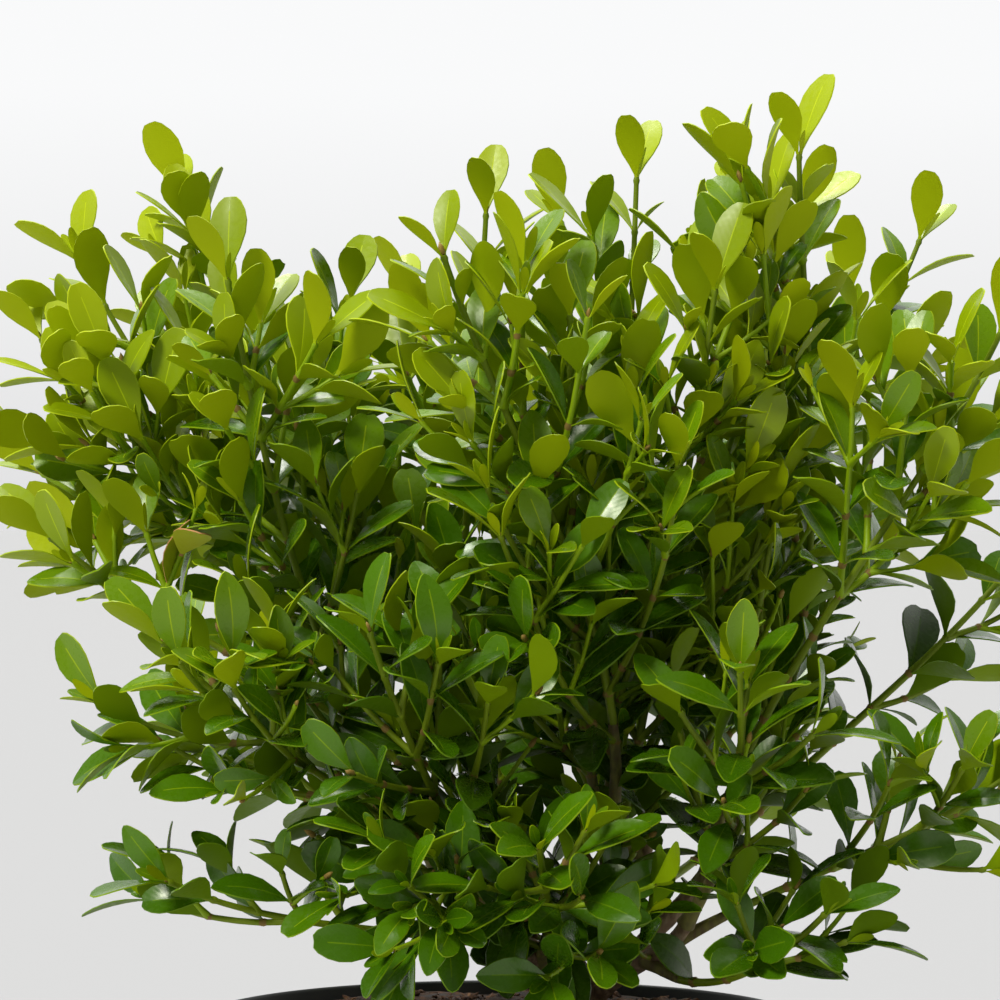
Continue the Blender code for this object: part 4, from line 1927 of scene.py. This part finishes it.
@dataclass
class ShootSkins:
    """The skins of the shoots: green, or olive where a shoot is old, and swollen at each node."""

    shoots: list[Shoot]
    sides: int = 6
    ring_step: float = 0.004
    ring_gap: float = 0.0004
    node_half: float = 0.0011
    node_swell: float = 0.32
    brown_half: float = 0.0006
    brown_share: float = 0.7
    foot_swell: float = 0.4
    foot_fade: float = 0.002
    olive_below: float = 0.27
    relief: float = 0.00012
    grain: float = 500.0

    def rings(self, shoot: Shoot) -> list[float]:
        """Find where a skin has its rings: in even steps, and close together at each node.

        Args:
            shoot: The shoot.

        Returns:
            Their distances along the shoot.
        """
        whole = length_of(shoot.line)
        steps = max(2, round(whole / self.ring_step))
        marks = {0.0, whole} | {whole * i / steps for i in range(steps + 1)}
        for distance, *_ in shoot.nodes:
            marks |= {distance - self.node_half, distance, distance + self.node_half}
        first, *others = sorted(mark for mark in marks if 0 <= mark <= whole)
        kept = [first]
        for mark in others:
            if mark - kept[-1] > self.ring_gap:
                kept.append(mark)
        return kept

    def add(self, shoot: Shoot, green: Tubes, olive: Tubes) -> None:
        """Add the skin of a shoot.

        Args:
            shoot: The shoot.
            green: The green skins.
            olive: The olive skins.
        """
        whole = length_of(shoot.line)
        places, girths, ages = [], [], []
        for mark in self.rings(shoot):
            near = min(abs(mark - distance) for distance, *_ in shoot.nodes)
            swell = 1 + self.node_swell * max(0.0, 1 - near / self.node_half)
            foot = 1 + self.foot_swell * math.exp(-mark / self.foot_fade) * (shoot.order > 0)
            places.append(point_at(shoot.line, mark)[0])
            girths.append(swell * foot * between(shoot.radii, mark / whole))
            brown = near < self.brown_half and mark < self.brown_share * whole and shoot.order < 2
            ages.append(Age.OLD if brown else Age.YOUNG)
        old = shoot.order == 0 or (shoot.order == 1 and places[0].z < self.olive_below)
        (olive if old else green).add(places, girths, ages)

    def build(self, masses: list[str]) -> None:
        """Make the olive and the green skins, with brown nodes where a shoot is old.

        Args:
            masses: Names of the solids that they stand for.
        """
        green, olive = Tubes(), Tubes()
        for shoot in self.shoots:
            self.add(shoot, green, olive)
        recipe = tube_recipe()
        values = {"Sides": self.sides, "Relief": self.relief, "Grain": self.grain}
        values |= {"Old": BROWN_NODE.material()}
        for name, tubes, skin in (("twigs_olive", olive, OLIVE_TWIG), ("twigs_green", green, GREEN_TWIG)):
            piece = recipe.run(name, tubes.mesh(name), values | {"Young": skin.material()})
            hand_over(piece, Slot.YOUNG_BARK, masses)


@dataclass
class Crown:
    """All that grows on from the boughs: the shoots, and the leaves and buds on them."""

    limbs: Limbs
    seed: int = 45

    def build(self) -> None:
        """Grow the crown, then make its pieces."""
        rng, room = random.Random(self.seed), Room(self.limbs)
        branches = Branches(self.limbs, room, rng)
        branches.grow()
        foliage = Foliage(branches.shoots, room, rng)
        foliage.grow()
        counts = len(branches.shoots), len(foliage.leaves), len(foliage.buds)
        LOG.info("%d shoots, %d leaves, %d buds", *counts)
        masses = nodes_named("foliage_")
        foliage.build(masses)
        ShootSkins(branches.shoots).build(masses)


# ================================================================ pot and soil
@dataclass
class Pot:
    """The round moulded pot: a tapering wall under a stepped-out band, drained through its flat floor."""

    height: float = 0.152
    base_radius: float = 0.070
    top_radius: float = 0.0885
    wall: float = 0.0014
    rim_radius: float = 0.0945
    band: float = 0.014
    taper: float = 0.0006
    chamfer: float = 0.003
    foot_bevel: Pair = (0.0012, 0.0006)
    grooves: tuple[float, ...] = (0.010, 0.0145, 0.110, 0.1165)
    groove: tuple[Pair, ...] = ((0, -0.0011), (-0.0005, -0.0006), (-0.0005, 0.0006), (0, 0.0011))
    wall_end: tuple[Pair, ...] = ((-0.0002, -0.0012), (0.0006, 0))
    band_edge: tuple[Pair, ...] = ((-0.0008, 0), (0, 0.0008))
    lip: tuple[Pair, ...] = (
        (-0.0009, -0.0052), (-0.0002, -0.0042), (0, -0.0030), (0, -0.0009),
        (-0.0004, -0.0002), (-0.0009, 0), (-0.0014, -0.0002), (-0.0019, -0.0010),
    )
    inner_rise: float = 0.0030
    inner_step: float = 0.0005
    inner_bevel: float = 0.0006
    sides: int = 128
    holes: int = 6
    hole_radius: float = 0.0055
    hole_circle: float = 0.058
    hole_sides: int = 24
    cut: float = 0.01

    def outer(self, height: float) -> float:
        """Return the wall's outer radius at a height."""
        return self.base_radius + (self.top_radius - self.base_radius) * height / (self.height - self.band)

    def profile(self) -> list[Pair]:
        """Draw the outline: from the middle of the floor out, up the wall, over the lip and down inside.

        Returns:
            Its points of radius and height.
        """
        foot, rim, inside = self.height - self.band, self.rim_radius - self.taper, self.top_radius - self.wall
        bevel_out, bevel_up = self.foot_bevel
        points = [(0.0, 0.0), (self.base_radius - self.chamfer, 0.0)]
        points += [(self.base_radius - bevel_out, bevel_up), (self.outer(self.chamfer), self.chamfer)]
        corners = [(self.outer(height), height, self.groove) for height in self.grooves]
        corners += [(self.top_radius, foot, self.wall_end), (rim, foot, self.band_edge)]
        for radius, height, steps in (*corners, (self.rim_radius, self.height, self.lip)):
            points += [(radius + out, height + up) for out, up in steps]
        points += [(rim - self.wall, foot + self.inner_rise)]
        points += [(rim - self.wall - self.inner_step, foot + self.wall)]
        points += [(inside + self.inner_bevel, foot + self.wall), (inside, foot)]
        return points + [(self.base_radius - self.wall, self.wall), (0.0, self.wall)]

    def build(self) -> None:
        """Turn the body and cut the drain holes."""
        pot = shown("pot_body", turned("pot_body", self.profile(), self.sides))
        cutters = bpy.data.collections.new("drain cutters")
        profile = [(0, -self.cut), (self.hole_radius, -self.cut), (self.hole_radius, self.cut), (0, self.cut)]
        for index in range(self.holes):
            place = Vector((*polar(self.hole_circle, math.tau * (index + 0.5) / self.holes), 0))
            mesh = turned("drain cutter", profile, self.hole_sides)
            mesh.transform(Matrix.Translation(place))
            cutters.objects.link(bpy.data.objects.new("drain cutter", mesh))
        cut = pot.modifiers.new("Drain", "BOOLEAN")
        cut.operation, cut.operand_type, cut.collection = "DIFFERENCE", "COLLECTION", cutters
        mesh = settled(pot)
        discard(cutters)
        mesh.materials.clear()
        mesh.materials.append(PlasticFinish().material())
        hand_over(pot, Slot.PLASTIC, ["pot"])


@dataclass
class Soil:
    """Potting mix with an uneven, crumbly top, and loose chips of bark on it."""

    top: float = 0.1480
    rim_side: float = 0.0922
    ledge: float = 0.1397
    shoulder: float = 0.0868
    foot_radius: float = 0.0683
    foot: float = 0.0017
    mound: float = 0.0020
    unevenness: float = 0.0030
    clods: float = 75.0
    fractal: tuple[float, float, int] = (0.8, 2.1, 4)
    clod_share: float = 0.7
    crumbs: float = 420.0
    crumb_share: float = 0.25
    layers: Pair = (0.3, 1.7)
    edge: float = 0.995
    edge_share: float = 0.4
    rings: int = 34
    sides: int = 110
    chips: int = 1500
    chip_reach: float = 0.95
    chip_forms: int = 5
    chip_sizes: Pair = (0.0016, 0.0052)
    chip_shape: tuple[Pair, ...] = ((0.9, 1.2), (0.4, 0.8), (0.2, 0.45))
    chip_jolt: float = 0.22
    chip_lean: float = 0.5
    seed: int = 7

    def height(self, x: float, y: float) -> float:
        """Tell how high the top stands.

        Args:
            x: The place to the right of the axis.
            y: The place behind it.

        Returns:
            The height there.
        """
        share = math.hypot(x, y) / self.rim_side
        clods = noise.fractal(Vector((x, y, self.layers[0])) * self.clods, *self.fractal)
        if share >= self.edge:
            return self.top + self.edge_share * self.unevenness * clods
        crumbs = noise.noise(Vector((x, y, self.layers[1])) * self.crumbs)
        mix = self.clod_share * clods + self.crumb_share * crumbs
        return self.top + (self.mound * (1 - share**4) + self.unevenness * mix)

    def turns(self, ring: int) -> list[float]:
        """Return the turns of a ring's points; every second ring is half a step on."""
        return [math.tau * (i + 0.5 * (ring % 2)) / self.sides for i in range(self.sides)]

    def top_rings(self, outermost: float) -> list[Line]:
        """Lay out the rings of the top.

        Args:
            outermost: How far out they reach, as a share of the radius.

        Returns:
            The rings, from the inside out.
        """
        rings = []
        for k in range(1, self.rings + 1):
            radius = outermost * self.rim_side * k / self.rings
            places = [polar(radius, turn) for turn in self.turns(k)]
            rings.append([Vector((x, y, self.height(x, y))) for x, y in places])
        return rings

    def surface(self, name: str, outermost: float, closed: bool) -> bpy.types.Mesh:
        """Return the top, or the whole closed body under it.

        Args:
            name: The mesh's name.
            outermost: How far out the top reaches, as a share of the radius.
            closed: Whether the sides and the underside are added.

        Returns:
            The mesh.
        """
        rings = self.top_rings(outermost)
        if closed:
            under = [(self.rim_side, self.ledge), (self.shoulder, self.ledge), (self.foot_radius, self.foot)]
            for radius, height in under:
                rings.append([Vector((*polar(radius, turn), height)) for turn in self.turns(self.rings)])
        points = [Vector((0, 0, self.height(0, 0)))] + [point for ring in rings for point in ring]
        faces: list[tuple[int, ...]] = []
        for i in range(self.sides):
            j = (i + 1) % self.sides
            faces.append((0, 1 + i, 1 + j))
            for k in range(len(rings) - 1):
                here, there = 1 + k * self.sides, 1 + (k + 1) * self.sides
                faces.append((here + i, there + i, there + j, here + j))
        if closed:
            points.append(Vector((0, 0, self.foot)))
            here = 1 + (len(rings) - 1) * self.sides
            faces += [(len(points) - 1, here + (i + 1) % self.sides, here + i) for i in range(self.sides)]
        return mesh_of(name, points, [], faces)

    def chip(self, index: int) -> bpy.types.Mesh:
        """Make one form of chip: a flat, angular flake about one unit long.

        Args:
            index: Number of the form.

        Returns:
            The mesh.
        """
        rng = random.Random(f"{self.seed} {index}")
        shape = bmesh.new()
        bmesh.ops.create_icosphere(shape, subdivisions=1, radius=0.5)
        sizes = [rng.uniform(*span) for span in self.chip_shape]
        for vertex in shape.verts:
            jolt = 1 + rng.uniform(-self.chip_jolt, self.chip_jolt)
            vertex.co = Vector([value * size for value, size in zip(vertex.co, sizes)]) * jolt
        return finished(shape, f"chip {index}")

    def recipe(self) -> Recipe:
        """Set up chips strewn over a surface, each turned and sized at random.

        Returns:
            The recipe.
        """
        inputs = {"Forms": "Collection", "Count": "Float", "Least": "Float", "Most": "Float"}
        recipe = Recipe("chips on a surface", inputs | {"Seed": "Int", "Chip": "Material"})
        seed = {"Seed": recipe.given["Seed"]}
        inputs = {"Mesh": recipe.given["Geometry"], "Density": recipe.given["Count"]}
        strewn = recipe.add("GeometryNodeDistributePointsOnFaces", inputs | seed).outputs[0]
        inputs = {0: (-self.chip_lean, -self.chip_lean, 0), 1: (self.chip_lean, self.chip_lean, math.tau)}
        turn = recipe.add("FunctionNodeRandomValue", inputs | seed, data_type="FLOAT_VECTOR").outputs[0]
        inputs = {2: recipe.given["Least"], 3: recipe.given["Most"]}
        size = recipe.add("FunctionNodeRandomValue", inputs | seed, data_type="FLOAT").outputs[1]
        recipe.finish(recipe.painted(recipe.placed(strewn, turn, size), "Chip"))
        return recipe

    def build(self) -> None:
        """Build the body of the mix and strew the chips."""
        mesh = self.surface("soil_body", 1.0, True)
        mesh.materials.append(PEAT.material())
        hand_over(shown("soil_body", mesh), Slot.SOIL, ["soil"])
        forms = templates("chip form", [self.chip(index) for index in range(self.chip_forms)])
        area = math.pi * (self.chip_reach * self.rim_side) ** 2
        least, most = self.chip_sizes
        values = {"Forms": forms, "Count": self.chips / area, "Least": least, "Most": most}
        values |= {"Seed": self.seed, "Chip": BARK_CHIP.material()}
        ground = self.surface("soil_chips", self.chip_reach, False)
        hand_over(self.recipe().run("soil_chips", ground, values), Slot.SOIL)
        discard(forms)


# ================================================================ studio
@dataclass(frozen=True)
class Lamp:
    """A far soft box that shines evenly from one way; its spread is an angle in degrees."""

    name: str
    way: Place
    spread: float
    strength: float
    colour: Colour = (1.0, 1.0, 1.0)

    def build(self) -> None:
        """Set up the lamp."""
        data = bpy.data.lights.new(self.name, "SUN")
        data.angle, data.energy, data.color = math.radians(self.spread), self.strength, self.colour
        shown(self.name, data).rotation_euler = Vector(self.way).to_track_quat("Z", "Y").to_euler()


@dataclass
class Studio:
    """The camera, a plain pale floor and soft light from above."""

    distance: float = 1.25
    eye: float = 0.312
    field_width: float = 0.31
    sensor: float = 36.0
    floor_radius: float = 40.0
    floor_depth: float = 0.02
    floor_grey: float = 0.45
    floor_roughness: float = 0.9
    horizon: Colour = (0.76, 0.76, 0.765)
    zenith: Colour = (0.95, 0.955, 0.96)
    sky: Pair = (0.0, 0.10)
    room: float = 0.14
    room_end: Pair = (0.1, 0.75)
    lamps: tuple[Lamp, ...] = (
        Lamp("overhead", way=(-0.15, 0.30, 1.0), spread=30, strength=2.5),
        Lamp("key", way=(-0.8, -0.9, 1.1), spread=16, strength=2.2, colour=(1.0, 0.99, 0.96)),
    )

    def camera(self) -> None:
        """Set up a long lens, level with the crown."""
        data = bpy.data.cameras.new("camera")
        data.sensor_width = self.sensor
        data.lens = self.sensor * self.distance / self.field_width
        camera = shown("camera", data)
        camera.location = (0, -self.distance, self.eye)
        camera.rotation_euler = (math.pi / 2, 0, 0)
        bpy.context.scene.camera = camera

    def floor(self) -> None:
        """Lay a wide matt disc under the pot."""
        radius, depth = self.floor_radius, self.floor_depth
        floor = shown("floor", turned("floor", [(0, -depth), (radius, -depth), (radius, 0), (0, 0)], 96))
        surface = Surface("pale floor")
        surface.set(Base_Color=[self.floor_grey] * 3, Roughness=self.floor_roughness)
        floor.data.materials.append(surface.material)

    def world(self) -> None:
        """Put a pale surround behind the shrub, and a dim room behind the camera."""
        world = bpy.data.worlds.new("surround")
        world.use_nodes = True
        bpy.context.scene.world = world
        graph = Graph(world.node_tree)
        way = graph.add("ShaderNodeTexCoord").outputs["Generated"]
        _, behind, above = graph.add("ShaderNodeSeparateXYZ", {0: way}).outputs
        colour = graph.ramp(above, self.sky, (self.horizon, self.zenith))
        inputs = {0: colour, "Scale": graph.spread(behind, self.room, 1.0, self.room_end)}
        shaded = graph.add("ShaderNodeVectorMath", inputs, operation="SCALE")
        background = world.node_tree.nodes["Background"]
        world.node_tree.links.new(shaded.outputs[0], background.inputs["Color"])
        background.inputs["Strength"].default_value = 1.0

    def build(self) -> None:
        """Set up everything that isn't part of the object."""
        bpy.context.scene.view_settings.view_transform = "Standard"
        self.camera()
        self.floor()
        self.world()
        for lamp in self.lamps:
            lamp.build()


# ================================================================ the shrub
def main() -> None:
    """Build the studio, then the pot, the soil, the wood and the foliage."""
    logging.basicConfig(level=logging.INFO, format="%(message)s")
    Studio().build()
    Pot().build()
    Soil().build()
    limbs = Limbs()
    Wood(limbs).build(tube_recipe())
    Crown(limbs).build()


if __name__ == "__main__":
    main()
